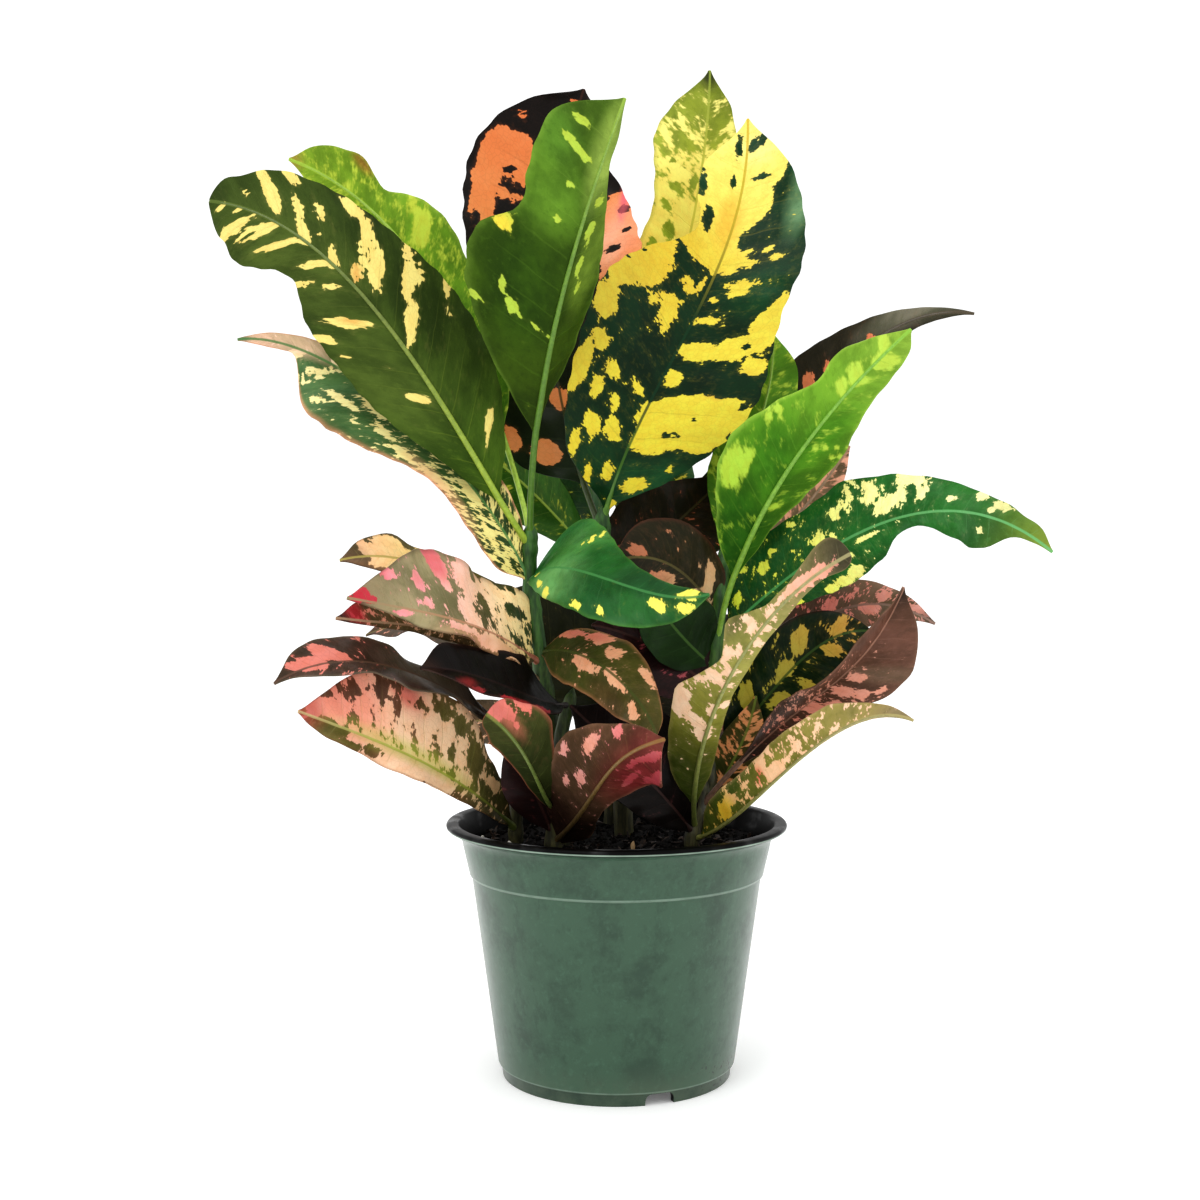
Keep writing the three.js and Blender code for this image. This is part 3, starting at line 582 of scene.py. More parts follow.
def mesh_piece(name, vertices, faces, finish):
    """A piece of its own, from its vertices in metres and its faces."""
    mesh = bpy.data.meshes.new(name)
    mesh.from_pydata(vertices, [], faces)
    mesh.materials.append(finish.material)
    piece = bpy.data.objects.new(name, mesh)
    bpy.context.collection.objects.link(piece)
    return piece


def strew(name, shapes, count, sizes, lift, finish, seed):
    """Copies of the shapes, strewn over the soil as one piece."""
    draw = random.Random(seed)
    vertices, faces, total = [], [], 0
    while len(faces) < count:
        spread = math.sqrt(draw.random()) * edge_radius * STREWN_SHARE
        angle = draw.uniform(0, 2 * math.pi)
        x, y = spread * math.cos(angle), spread * math.sin(angle)
        points, shape_faces = shapes[draw.randrange(len(shapes))]
        size = draw.uniform(*sizes)
        low_edge = LOW_EDGE * max(0, spread / edge_radius - LOW_EDGE_FROM) / LOW_EDGE_BAND
        z = SOIL_HEIGHT + soil_rise(x, y) + lift * size - low_edge
        copy = turned(points * size, draw) + (x, y, z)
        if np.hypot(copy[:, 0], copy[:, 1]).max() > inside_radius(SOIL_HEIGHT) - WALL_CLEARANCE:
            continue
        vertices.append(copy * MM)
        faces.append(shape_faces + total)
        total += len(points)
    piece = mesh_piece(name, np.concatenate(vertices).tolist(), np.concatenate(faces).tolist(), finish)
    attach(piece, "root")


CRUMB_SHAPES = [crumb_shape(squash, seed) for squash, seed in CRUMB_SQUASHES]
CHIP_SHAPES = [crumb_shape(squash, seed) for squash, seed in CHIP_SQUASHES]
strew("peat_crumbs", CRUMB_SHAPES, CRUMB_COUNT, CRUMB_SIZES, CRUMB_LIFT, peat, seed=5)

bark = Finish("bark_chips", roughness=0.75)
streaks = bark.grain(bark.stretch(bark.place(), STREAK_STRETCH), *STREAK_GRAIN)
bark.put("Base Color", bark.mix(bark.rise(streaks, 0.4, 0.68), BARK_DARK, BARK_LIGHT))
bark.bump(streaks, 0.4, 0.0008)
strew("bark_chips", CHIP_SHAPES, CHIP_COUNT, CHIP_SIZES, CHIP_LIFT, bark, seed=6)

# A pale splinter of wood stands in the soil at the front, one rough sliver with fibres along it.
# Its lower tip is stuck in the soil.
SPLINTER_SQUASH = (1.1, 0.5, 2.9)
SPLINTER_PLACE = (7.6, -21, SOIL_HEIGHT + 2)
SPLINTER_GRAIN = (900, 3, 0.6)
ALONG_STRETCH = (1, 1, 0.2)
WOOD_DARK = linear("8a6c48")
WOOD_PALE = linear("d2b488")

splinter_wood = Finish("splinter_wood", roughness=0.7)
fibres = splinter_wood.grain(splinter_wood.stretch(splinter_wood.place(), ALONG_STRETCH), *SPLINTER_GRAIN)
splinter_wood.put("Base Color", splinter_wood.mix(fibres, WOOD_DARK, WOOD_PALE))
splinter_points, splinter_faces = crumb_shape(SPLINTER_SQUASH, seed=41, cuts=2)
splinter_vertices = ((splinter_points + SPLINTER_PLACE) * MM).tolist()
splinter = mesh_piece("wood_splinter", splinter_vertices, splinter_faces.tolist(), splinter_wood)
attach(splinter, "root")

# White perlite balls, puffed glass with open pores, lie about on the soil by themselves.
# Each place is (x, y, radius) in mm, and a ball sinks in by nearly half of its radius.
PERLITE_PLACES = ((-62, -22, 2.0), (-52, -5, 1.7), (12, -62, 1.3), (34, 40, 1.6), (-10, 66, 1.5),
                  (52, 44, 1.2), (-30, 58, 1.3), (50, -30, 1.1), (-66, 12, 1.0), (22, 60, 1.2))
BALL_SQUASH = (1, 1, 0.9)
BALL_LIFT = 0.55
PORE_GRAIN = (900, 3, 0.6)
PERLITE_GREY = linear("c9c4b8")
PERLITE_WHITE = linear("f2efe6")

perlite = Finish("perlite", roughness=0.8)
pores = perlite.grain(perlite.place(), *PORE_GRAIN)
perlite.put("Base Color", perlite.mix(perlite.rise(pores, 0.3, 0.7), PERLITE_GREY, PERLITE_WHITE))
perlite.bump(pores, 0.5, RELIEF)
ball_points, ball_faces = crumb_shape(BALL_SQUASH, seed=31, cuts=2)
ball_vertices, ball_polygons = [], []
for number, (x, y, size) in enumerate(PERLITE_PLACES):
    z = SOIL_HEIGHT + soil_rise(x, y) + BALL_LIFT * size
    ball_vertices += ((ball_points * size + (x, y, z)) * MM).tolist()
    ball_polygons += (ball_faces + number * len(ball_points)).tolist()
balls = mesh_piece("perlite_balls", ball_vertices, ball_polygons, perlite)
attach(balls, "root")

# The left stem: the tallest, with the long olive leaf, the two green ones beside it and the leaves below.
# Stems are green bars with a ring at each leaf. A leaf is a thin quilted blade on a round midrib,
# and its blotches run out along the side veins. It grows out of the stem.
STEM_CELL = 2.2
STEM_ROUNDS = 7
RING_SWELL = 0.14
RING_DROP = 2
RING_LENGTH = 2.2
SCAR_SWELL = 0.07
SCAR_LENGTH = 1.3
SCAR_SCATTER = 4
SCAR_PLACES = (3 / 7, 4 / 7, 5 / 7, 6 / 7)
MOST_SWELL = 0.2
BUD_HEIGHTS = (1.5, 3, 4.6, 6)
BUD_RADII = (0.9, 0.66, 0.36, 0.08)
ARC_SAMPLES = 200
FEWEST_ROWS = 16
ALONG_CELL = 2.3
ROW_PULL = 0.35
COLUMN_PULL = 0.45
ACROSS_CELLS = 30
NARROW_CELLS = 22
NARROW_UNDER = 20
ROUND_TIP_FROM = 0.3
ROUND_TIP_ROWS = (0.28, 0.18, 0.1, 0.05, 0.022, 0.008, 0.002, 0)
BLADE_THICKNESS = 0.95
RIM_SHARE = 0.62
THIN_EDGE = 0.22
STALK_HALF_WIDTH = 1.7
TIP_HALF_WIDTH = 0.6
FULL_WAVE_HALF_WIDTH = 12
WAVE_SHIFT_RIGHT = 1.3
VEIN_SLANT = 0.62
VEIN_SPACING = 5
VEIN_SPREAD = 0.19
VEIN_SWAY = 0.12
VEIN_SWAY_LENGTH = 9
FULL_TURN = 6.28
QUILT_HEIGHT = 0.26
BUCKLE_HEIGHT = 0.5
BUCKLE_LENGTHS = (11, 8)
RIPPLE_HEIGHT = 0.35
RIPPLE_LENGTH = 2.6
NICK_DEPTH = 0.012
NICK_LENGTH = 1.9
PATCH_STEP = 3.0
SMALL_PATCH = 3.2
NO_PATCH = -1.2
TINT_REACH = 1.6
EDGE_FROM = 0.9
EDGE_BAND = 0.1
SHALLOW_FOLD = (12, 12, 0, 0)
STOUTEST = 1.6
STOUT_LEAST = 0.75
STOUT_SHARE = 0.025
RIB_SLIMNESS = 0.97
STALK_SWELL = 0.3
STALK_SWELL_PLACE = 4
STALK_SWELL_LENGTH = 3
RIB_TIP_SHARE = 0.16
SINK_SHARE = 0.62
SUNK_FROM = 0.08
RIB_END = 0.985
STALK_RINGS = 12
RIB_RINGS = 44
STALKLESS_RINGS = 48
RIB_ROUNDS = 3
LEAF_SMOOTH_UNDER = math.radians(55)

# The surfaces of the leaves, midribs and stems. A pattern on a leaf is as many mm wide and long as the
# number it is divided by, and lies over the leaf as if that were flat.
COARSE_SIZE = (1 / 6.5, 1 / 8.5, 1)
RAGGED_SIZE = (1 / 1.8, 1 / 3.2, 1)
CLOUD_SIZE = (1 / 22, 1 / 22, 1)
PORE_SIZE = (1 / 0.9, 1 / 0.9, 1)
FLECK_SIZE = (1 / 3.2, 1 / 4.2, 1)
VEIN_CELLS = 0.42
LIGHTER = (1.05, 1.02, 0.85)
DARKER = (0.52, 0.55, 0.4)
WARMER = (0.93, 0.74, 0.6)
RIB_DARKER = (0.7, 0.75, 0.7)
RIB_GRAIN = (500, 3, 0.6)
FIBRE_GRAIN = (420, 4, 0.6)
CORK_GRAIN = (150, 3, 0.6)
OLD_BELOW = (0.13, 0.235)
YOUNG_STEM = (linear("1c4013"), linear("3d6b22"))
OLD_STEM = (linear("262612"), linear("52502c"))


def leaf_skin(name, gloss, under):
    """Leaf surface: ground colour, crisp blotches along the side veins, fine veins and the midrib."""
    skin = Finish(name, roughness=0.42, coat=gloss, coat_roughness=0.2, shine=0.1)
    place = skin.painted("place", "Vector")
    ground = skin.painted("ground", "Color")
    share_out = skin.painted("ground", "Alpha")
    blotch = skin.painted("blotch", "Color")
    soft = skin.painted("blotch", "Alpha")
    rib = skin.painted("rib", "Color")
    marble = skin.painted("marble", "Vector")
    coarse = skin.grain(skin.stretch(marble, COARSE_SIZE), 1, 2, 0.55)
    ragged = skin.grain(skin.stretch(marble, RAGGED_SIZE), 1, 2, 0.6)
    shape = skin.painted("patch", "Fac") + (coarse - 0.5) * 1.9 + (ragged - 0.5) * 1.15
    mask = skin.rise(shape, 0 - soft, soft)
    halo = skin.rise(shape, -0.55, 0.15)
    clouds = skin.grain(skin.stretch(place, CLOUD_SIZE), 1, 3, 0.6)
    pores = skin.grain(skin.stretch(place, PORE_SIZE), 1, 3, 0.65)
    flecks = skin.grain(skin.stretch(place, FLECK_SIZE), 1, 4, 0.7)
    wander = (skin.grain(place, 0.11, 2, 0.5) - 0.5) * 0.5
    vein = abs((skin.painted("vein", "Fac") + wander * 0.4).fraction() - 0.5)
    vein_line = skin.rise(vein, 0.045, 0.008) * skin.rise(share_out, 1.0, 0.3)
    mesh_cells = skin.node("ShaderNodeTexVoronoi", {"feature": "DISTANCE_TO_EDGE"},
                           {"Vector": place, "Scale": VEIN_CELLS}, "Distance")
    fine_veins = skin.rise(mesh_cells, 0.09, 0.0)
    midrib_line = skin.rise(abs(skin.axis(place, "Y")), 0.95, 0.45)
    ground_light = skin.tinted(ground, LIGHTER)
    ground_dark = skin.tinted(ground, DARKER)
    ground_pale = skin.mix(0.2, ground, rib)
    base = skin.mix(skin.rise(clouds, 0.35, 0.65), ground_dark, ground_light)
    base = skin.mix(halo * 0.07, base, blotch)
    base = skin.mix(pores * 0.2, base, ground_light)
    base = skin.mix(skin.rise(flecks, 0.5, 0.68) * 0.42, base, ground_dark)
    base = skin.mix(skin.rise(flecks, 0.46, 0.32) * 0.32, base, ground_pale)
    warm = skin.tinted(blotch, WARMER)
    spot = skin.mix(skin.rise(coarse, 0.62, 0.4) * 0.35, blotch, warm)
    spot = skin.mix(skin.rise(flecks, 0.54, 0.72) * 0.3, spot, warm)
    spot = skin.mix(skin.rise(shape, 0.3, 0.0) * 0.18, spot, warm)
    colour = skin.mix(mask, base, spot)
    colour = skin.mix(vein_line * 0.13, colour, rib)
    colour = skin.mix(fine_veins * 0.1, colour, ground)
    skin.put("Base Color", skin.mix(midrib_line * 0.85, colour, rib))
    skin.put("Roughness", (0.5 if under else 0.36) + clouds * 0.16 + pores * 0.08)
    relief = vein_line * (1 if under else -1) + fine_veins * (0.22 if under else -0.22) + pores * 0.25
    skin.bump(relief + clouds * 0.5, 0.35, 0.0005)
    return skin.material


upper_skin = leaf_skin("leaf_upper_face", 0.12, False)
under_skin = leaf_skin("leaf_lower_face", 0.0, True)

rib_skin = Finish("leaf_rib", roughness=0.45, coat=0.1)
rib_colour = rib_skin.painted("rib", "Color")
fibres = rib_skin.grain(rib_skin.place(), *RIB_GRAIN)
rib_dark = rib_skin.tinted(rib_colour, RIB_DARKER)
rib_skin.put("Base Color", rib_skin.mix(rib_skin.rise(fibres, 0.35, 0.7), rib_dark, rib_colour))
rib_skin.bump(fibres, 0.2, RELIEF / 2)

stem_skin = Finish("stem_bark", roughness=0.55, coat=0.08)
place = stem_skin.place()
height = stem_skin.axis(place, "Z")
fibres = stem_skin.grain(stem_skin.stretch(place, ALONG_STRETCH), *FIBRE_GRAIN)
corks = stem_skin.grain(place, *CORK_GRAIN)
age = stem_skin.rise(height + (corks - 0.5) * 0.06, *OLD_BELOW)
young, old = (stem_skin.mix(stem_skin.rise(fibres, 0.35, 0.7), *tones) for tones in (YOUNG_STEM, OLD_STEM))
stem_skin.put("Base Color", stem_skin.mix(age, old, young))
stem_skin.put("Roughness", 0.45 + corks * 0.25)
stem_skin.bump(fibres + corks * 0.6, 0.3, RELIEF)


def smooth_through(values, share):
    """Values read off a smooth curve through a list, at shares from 0 to 1 of its length."""
    values = np.asarray(values, float)
    last = len(values) - 1
    reach = np.clip(share, 0, 1) * last
    number = np.minimum(reach.astype(int), last - 1)
    part = reach - number
    if values.ndim > 1:
        part = part[:, None]
    before, here = values[np.maximum(number - 1, 0)], values[number]
    there, beyond = values[number + 1], values[np.minimum(number + 2, last)]
    leaving, arriving = (there - before) / 2, (beyond - here) / 2
    return ((2 * here - 2 * there + leaving + arriving) * part ** 3
            + (-3 * here + 3 * there - 2 * leaving - arriving) * part ** 2 + leaving * part + here)


def half_width(widths, round_tip, share):
    """Half width in mm at a share along the blade."""
    values = [STALK_HALF_WIDTH, *widths, widths[-1] if round_tip else TIP_HALF_WIDTH]
    width = smooth_through(values, share)
    if round_tip:
        from_tip = np.maximum(0, 1 - (1 - share) * (len(values) - 1))
        width = width * np.sqrt(np.clip(1 - from_tip ** 2, 0, 1))
    return np.maximum(width, TIP_HALF_WIDTH)


def facing(bearing, slope):
    """Unit vectors at a bearing from the front towards the right, raised by a slope, in degrees."""
    turn, tilt = np.radians(bearing), np.radians(slope)
    return np.stack([np.cos(tilt) * np.sin(turn), -np.cos(tilt) * np.cos(turn), np.sin(tilt)], -1)


def unit(vectors):
    return vectors / np.linalg.norm(vectors, axis=-1, keepdims=True)


def stem_point(path, height):
    """Point of a stem's axis at a height."""
    number = 0
    while number < len(path) - 2 and path[number + 1][2] < height:
        number += 1
    low, high = np.array(path[number], float), np.array(path[number + 1], float)
    return low + (high - low) * (height - low[2]) / (high[2] - low[2])


def stem(name, node_name, node_heights, seed):
    """The round stem itself, with a ring at each leaf, a few scars and a small bud at its top."""
    path, (bottom, top) = STEM_PATHS[node_name]
    low, high = path[0][2], path[-1][2]
    points = smooth_through(path, np.linspace(0, 1, int((high - low) / STEM_CELL)))
    draw = random.Random(seed)
    scars = [low + (high - low) * share + draw.uniform(-SCAR_SCATTER, SCAR_SCATTER)
             for share in SCAR_PLACES]
    radii = []
    for point in points:
        radius = bottom + (top - bottom) * (point[2] - low) / (high - low)
        swell = sum(RING_SWELL * math.exp(-((point[2] - height + RING_DROP) / RING_LENGTH) ** 2)
                    for height in node_heights)
        swell += sum(SCAR_SWELL * math.exp(-((point[2] - height) / SCAR_LENGTH) ** 2) for height in scars)
        radii.append(radius * (1 + min(swell, MOST_SWELL)))
    heading = unit(points[-1] - points[-2])
    points = np.vstack([points, [points[-1] + heading * step for step in BUD_HEIGHTS]])
    radii += [radii[-1] * share for share in BUD_RADII]
    bar = tube(name, points, radii, STEM_ROUNDS)
    bar.data.materials.append(stem_skin.material)
    bpy.ops.object.shade_smooth_by_angle(angle=SMOOTH_UNDER)
    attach(bar, "root")
    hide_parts(node_name)


def blend_stops(stops, share):
    """Colour at each share along a list of colours, as an array."""
    colours = np.array([linear(stop) for stop in stops])
    if len(stops) == 1:
        return np.repeat(colours, len(share), 0)
    reach = np.clip(share, 0, 1) * (len(stops) - 1)
    number = np.minimum(reach.astype(int), len(stops) - 2)
    part = (reach - number)[:, None]
    return colours[number] * (1 - part) + colours[number + 1] * part


def painted_over(paint, tone, weight):
    return paint * (1 - weight) + np.array(linear(tone)) * weight


def pulled(share, pull):
    """Even shares from 0 to 1, drawn closer together at both ends."""
    return (1 - pull) * share + pull * (0.5 - 0.5 * np.cos(np.pi * share))


def spine_through(start, rib, face):
    """A leaf's midrib, as a function that gives its points, sideways and upwards at shares along it."""
    third, two_thirds, tip = (np.array(p, float) for p in rib)
    out_point = (-5 * start + 18 * third - 9 * two_thirds + 2 * tip) / 6
    back_point = (2 * start - 9 * third + 18 * two_thirds - 5 * tip) / 6

    def spine(share):
        t = np.asarray(share, float)[:, None]
        q = 1 - t
        centre = q ** 3 * start + 3 * q * q * t * out_point + 3 * q * t * t * back_point + t ** 3 * tip
        heading = unit(q * q * (out_point - start) + 2 * q * t * (back_point - out_point)
                       + t * t * (tip - back_point))
        bearing = face[0] + (face[2] - face[0]) * t[:, 0]
        slope = face[1] + (face[3] - face[1]) * t[:, 0]
        look = facing(bearing, slope)
        up = unit(look - heading * (look * heading).sum(-1, keepdims=True))
        return centre, np.cross(heading, up), up

    return spine


class Blade:
    """A leaf's blade as a grid in mm, with rows along its midrib and columns from its left to its right."""

    def __init__(self, spine, stalk, left, right, form, wave, slant, draw):
        self.left, self.right, self.round_tip, self.slant = left, right, form[3], slant
        self.widest = max(max(left), max(right))
        steps = np.diff(spine(np.linspace(stalk, 1, ARC_SAMPLES))[0], axis=0)
        self.arc = np.concatenate([[0], np.cumsum(np.linalg.norm(steps, axis=1))])
        self.share = self.rows()
        self.columns = ACROSS_CELLS if self.widest > NARROW_UNDER else NARROW_CELLS
        even = np.linspace(-1, 1, self.columns + 1)
        column = np.sign(even) * pulled(np.abs(even), COLUMN_PULL)
        centre, side, up = spine(stalk + (1 - stalk) * self.share)
        across = np.broadcast_to(column[None, :], (len(self.share), len(column)))
        half = np.where(across < 0, half_width(left, self.round_tip, self.share)[:, None],
                        half_width(right, self.round_tip, self.share)[:, None])
        level = self.level_at(self.share)[:, None]
        self.size = np.abs(across)
        self.out = half * across
        self.along = level - slant * np.abs(self.out)
        size, out, along = self.size, self.out, self.along
        turns = [draw.uniform(0, FULL_TURN) for _ in range(5)]
        start = np.where(across > 0, turns[0], turns[1])
        sway = VEIN_SWAY * np.sin(along / VEIN_SWAY_LENGTH)
        self.vein = along / (VEIN_SPACING + VEIN_SPREAD * self.widest) + start + sway
        fold = np.radians(np.where(across < 0, form[0], form[1]))
        share = np.broadcast_to(self.share[:, None], across.shape)
        phase = 2 * np.pi * wave[1] * share + wave[2] + np.where(across > 0, WAVE_SHIFT_RIGHT, 0)
        narrow = np.minimum(1, half / FULL_WAVE_HALF_WIDTH)
        rise = (half * (size * np.sin(fold) - form[2] * size ** 2)
                + wave[0] * size ** 2 * np.sin(phase) * narrow)
        quilt = np.cos(2 * np.pi * self.vein)
        rise = rise + QUILT_HEIGHT * quilt * (4 * size * (1 - size)) ** 0.7 * narrow
        buckle = np.sin(level / BUCKLE_LENGTHS[0] + turns[2]) * np.cos(out / BUCKLE_LENGTHS[1] + turns[3])
        rise = rise + BUCKLE_HEIGHT * buckle * size * narrow
        rise = rise + RIPPLE_HEIGHT * size ** 4 * np.sin(level / RIPPLE_LENGTH + turns[4] + across) * narrow
        wide = half * across * np.cos(fold)
        wide = wide * (1 + NICK_DEPTH * size ** 3 * np.sin(level / NICK_LENGTH + turns[1]))
        self.points = (centre[:, None, :] + side[:, None, :] * wide[..., None]
                       + up[:, None, :] * rise[..., None])

    def rows(self):
        """Shares along the blade, closer at its ends, and closer still in a round tip."""
        count = max(FEWEST_ROWS, int(self.arc[-1] / ALONG_CELL))
        share = pulled(np.linspace(0, 1, count + 1), ROW_PULL)
        if self.round_tip:
            step = 1 / (len(self.left) + 1)
            tip_rows = 1 - step * np.array(ROUND_TIP_ROWS)
            share = np.sort(np.concatenate([share[share < 1 - step * ROUND_TIP_FROM], tip_rows]))
        return share

    def level_at(self, share):
        """Distance in mm along the midrib."""
        return np.interp(share, np.linspace(0, 1, ARC_SAMPLES), self.arc)

    def distance(self, spot_share, spot_across, spot_out, spot_along):
        """How far each point is from a patch's middle, as a share of its half size."""
        widths = self.left if spot_across < 0 else self.right
        middle = spot_across * half_width(widths, self.round_tip, np.array([spot_share]))[0]
        level = self.level_at(spot_share) - self.slant * abs(middle)
        return np.sqrt(((self.out - middle) / spot_out) ** 2 + ((self.along - level) / spot_along) ** 2)

    def inside(self, spot):
        """Above 0 inside a patch and below 0 outside it, and steeper in a large one."""
        return (1 - self.distance(*spot)) * max(SMALL_PATCH, min(spot[2:])) / PATCH_STEP

    def patch_field(self, cover, patches, holes):
        """Above 0 in the blotches and below 0 outside them."""
        covers = np.atleast_1d(cover)
        cover_rows = np.interp(self.share, np.linspace(0, 1, len(covers)), covers)
        field = np.maximum(np.full(self.out.shape, NO_PATCH), cover_rows[:, None])
        for spot in patches:
            field = np.maximum(field, self.inside(spot))
        for spot in holes:
            field = np.minimum(field, -self.inside(spot))
        return np.clip(field, NO_PATCH, -NO_PATCH)

    def paints(self, ground, blotch, rib_tone, tints, edge):
        """Colours of the ground, the blotches and the midrib at each point."""
        stops = {"ground": ground, "blotch": blotch, "rib": rib_tone}
        paints = {key: blend_stops(tones, self.share)[:, None, :] * np.ones(self.out.shape + (1,))
                  for key, tones in stops.items()}
        for spot_share, spot_across, spot_out, spot_along, tone, strength, *which in tints:
            far = self.distance(spot_share, spot_across, spot_out, spot_along)
            weight = strength * np.clip(TINT_REACH - far, 0, 1)[..., None]
            for key in which or ("ground", "blotch"):
                paints[key] = painted_over(paints[key], tone, weight)
        if edge:
            weight = np.clip((self.size - EDGE_FROM) / EDGE_BAND, 0, 1)[..., None] * edge[1]
            for key in ("ground", "blotch"):
                paints[key] = painted_over(paints[key], edge[0], weight)
        return paints


def midrib(name, spine, start, stalk, widest, rib_tone):
    """The round stalk and midrib of a leaf, which sinks into the blade and thins out towards its tip."""
    share = RIB_END * np.linspace(0, 1, STALKLESS_RINGS)
    if stalk > 0:
        share = np.concatenate([np.linspace(0, stalk, STALK_RINGS)[:-1],
                                stalk + (RIB_END - stalk) * np.linspace(0, 1, RIB_RINGS)])
    centre, _, up = spine(share)
    on_blade = np.clip((share - stalk) / (1 - stalk), 0, 1)
    stout = min(STOUTEST, STOUT_LEAST + STOUT_SHARE * widest)
    run = np.linalg.norm(centre - start, axis=1)
    thinning = RIB_TIP_SHARE + (1 - RIB_TIP_SHARE) * (1 - on_blade) ** 0.9
    radius = np.where(on_blade > 0, stout * thinning, stout)
    swell = STALK_SWELL * np.exp(-((run - STALK_SWELL_PLACE) / STALK_SWELL_LENGTH) ** 2)
    radius = radius * (1 + swell) * RIB_SLIMNESS
    sink = radius * SINK_SHARE * np.clip(on_blade / SUNK_FROM, 0, 1)
    axis = centre - up * sink[:, None]
    bar = tube(name, axis, radius, RIB_ROUNDS)
    spots = np.array([v.co[:] for v in bar.data.vertices]) / MM
    nearest = np.argmin(((spots[:, None, :] - axis[None]) ** 2).sum(-1), 1)
    tones = np.concatenate([blend_stops(rib_tone, on_blade), np.ones((len(on_blade), 1))], 1)
    store(bar.data, "rib", "COLOR", tones[nearest])
    bar.data.materials.append(rib_skin.material)
    return bar


def store(mesh, name, kind, values):
    """Keeps a value for each point in the mesh, where the leaf's finish reads it."""
    attribute = mesh.attributes.new(name, "FLOAT" if kind == "VALUE" else "FLOAT_" + kind, "POINT")
    attribute.data.foreach_set(kind.lower(), values.ravel())


def leaf(node_name, name, height, stalk, rib, face, left, right, wave, ground, blotch, rib_tone,
         form=SHALLOW_FOLD, cover=-0.55, soft=0.05, slant=VEIN_SLANT, patches=(), holes=(), tints=(),
         edge=None, marble=1.0):
    """One leaf. height is where its stalk leaves the stem, and stalk the share of the midrib before the
    blade. rib holds two points of the midrib and its tip, face the bearing and slope that the upper face
    looks to at the stem and at the tip, left and right the half widths along the blade. wave is the
    height, count and start of the edge's waves, and form the fold of each half, the bow, and 1 for a
    round tip. ground, blotch and rib_tone are colours from base to tip. cover is how near the ground is
    to blotching by itself. A patch or a hole in one is its place along the blade and across it, and its
    half sizes out from the midrib and along it in mm. A tint adds a colour, its strength and what it
    changes, if not both. edge is the rim's colour and strength."""
    draw = random.Random(name)
    start = stem_point(STEM_PATHS[node_name][0], height)
    spine = spine_through(start, rib, face)
    blade = Blade(spine, stalk, left, right, form, wave, slant, draw)
    rows, columns = len(blade.share) - 1, blade.columns

    deselect_all()
    bpy.ops.mesh.primitive_grid_add(x_subdivisions=columns, y_subdivisions=rows, size=1)
    piece = bpy.context.object
    piece.name = name
    mesh = piece.data
    flat = np.empty(len(mesh.vertices) * 3)
    mesh.vertices.foreach_get("co", flat)
    flat = flat.reshape(-1, 3)
    row = np.rint((flat[:, 1] + 0.5) * rows).astype(int)
    column = np.rint((flat[:, 0] + 0.5) * columns).astype(int)
    mesh.vertices.foreach_set("co", (blade.points[row, column] * MM).ravel())

    flat_place = np.stack([blade.along, blade.out, np.full(blade.out.shape, draw.uniform(0, 90))], -1)
    store(mesh, "place", "VECTOR", flat_place[row, column])
    store(mesh, "marble", "VECTOR", (flat_place * (1 / marble, 1 / marble, 1))[row, column])
    store(mesh, "vein", "VALUE", blade.vein[row, column])
    store(mesh, "patch", "VALUE", blade.patch_field(cover, patches, holes)[row, column])
    alphas = {"ground": blade.size, "blotch": np.full(blade.out.shape, soft), "rib": blade.size}
    for key, paint in blade.paints(ground, blotch, rib_tone, tints, edge).items():
        store(mesh, key, "COLOR", np.concatenate([paint, alphas[key][..., None]], -1)[row, column])
    for finish in (upper_skin, under_skin, rib_skin.material):
        mesh.materials.append(finish)

    thick = piece.vertex_groups.new(name="thick")
    thickness = np.clip((1 - blade.size) / THIN_EDGE, 0, 1)
    for number, weight in enumerate(thickness[row, column].ravel().tolist()):
        thick.add([number], weight, "REPLACE")
    mesh.update()
    apply_modifier(piece, "SOLIDIFY", thickness=BLADE_THICKNESS * MM, offset=0, use_rim=True,
                   vertex_group="thick", thickness_vertex_group=RIM_SHARE, material_offset=1,
                   material_offset_rim=0)
    piece.vertex_groups.clear()

    bar = midrib(name + "_rib", spine, start, stalk, blade.widest, rib_tone)
    activate(piece)
    bar.select_set(True)
    bpy.ops.object.join()
    bpy.ops.object.shade_smooth_by_angle(angle=LEAF_SMOOTH_UNDER)
    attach(piece, "root")
    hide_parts(node_name)


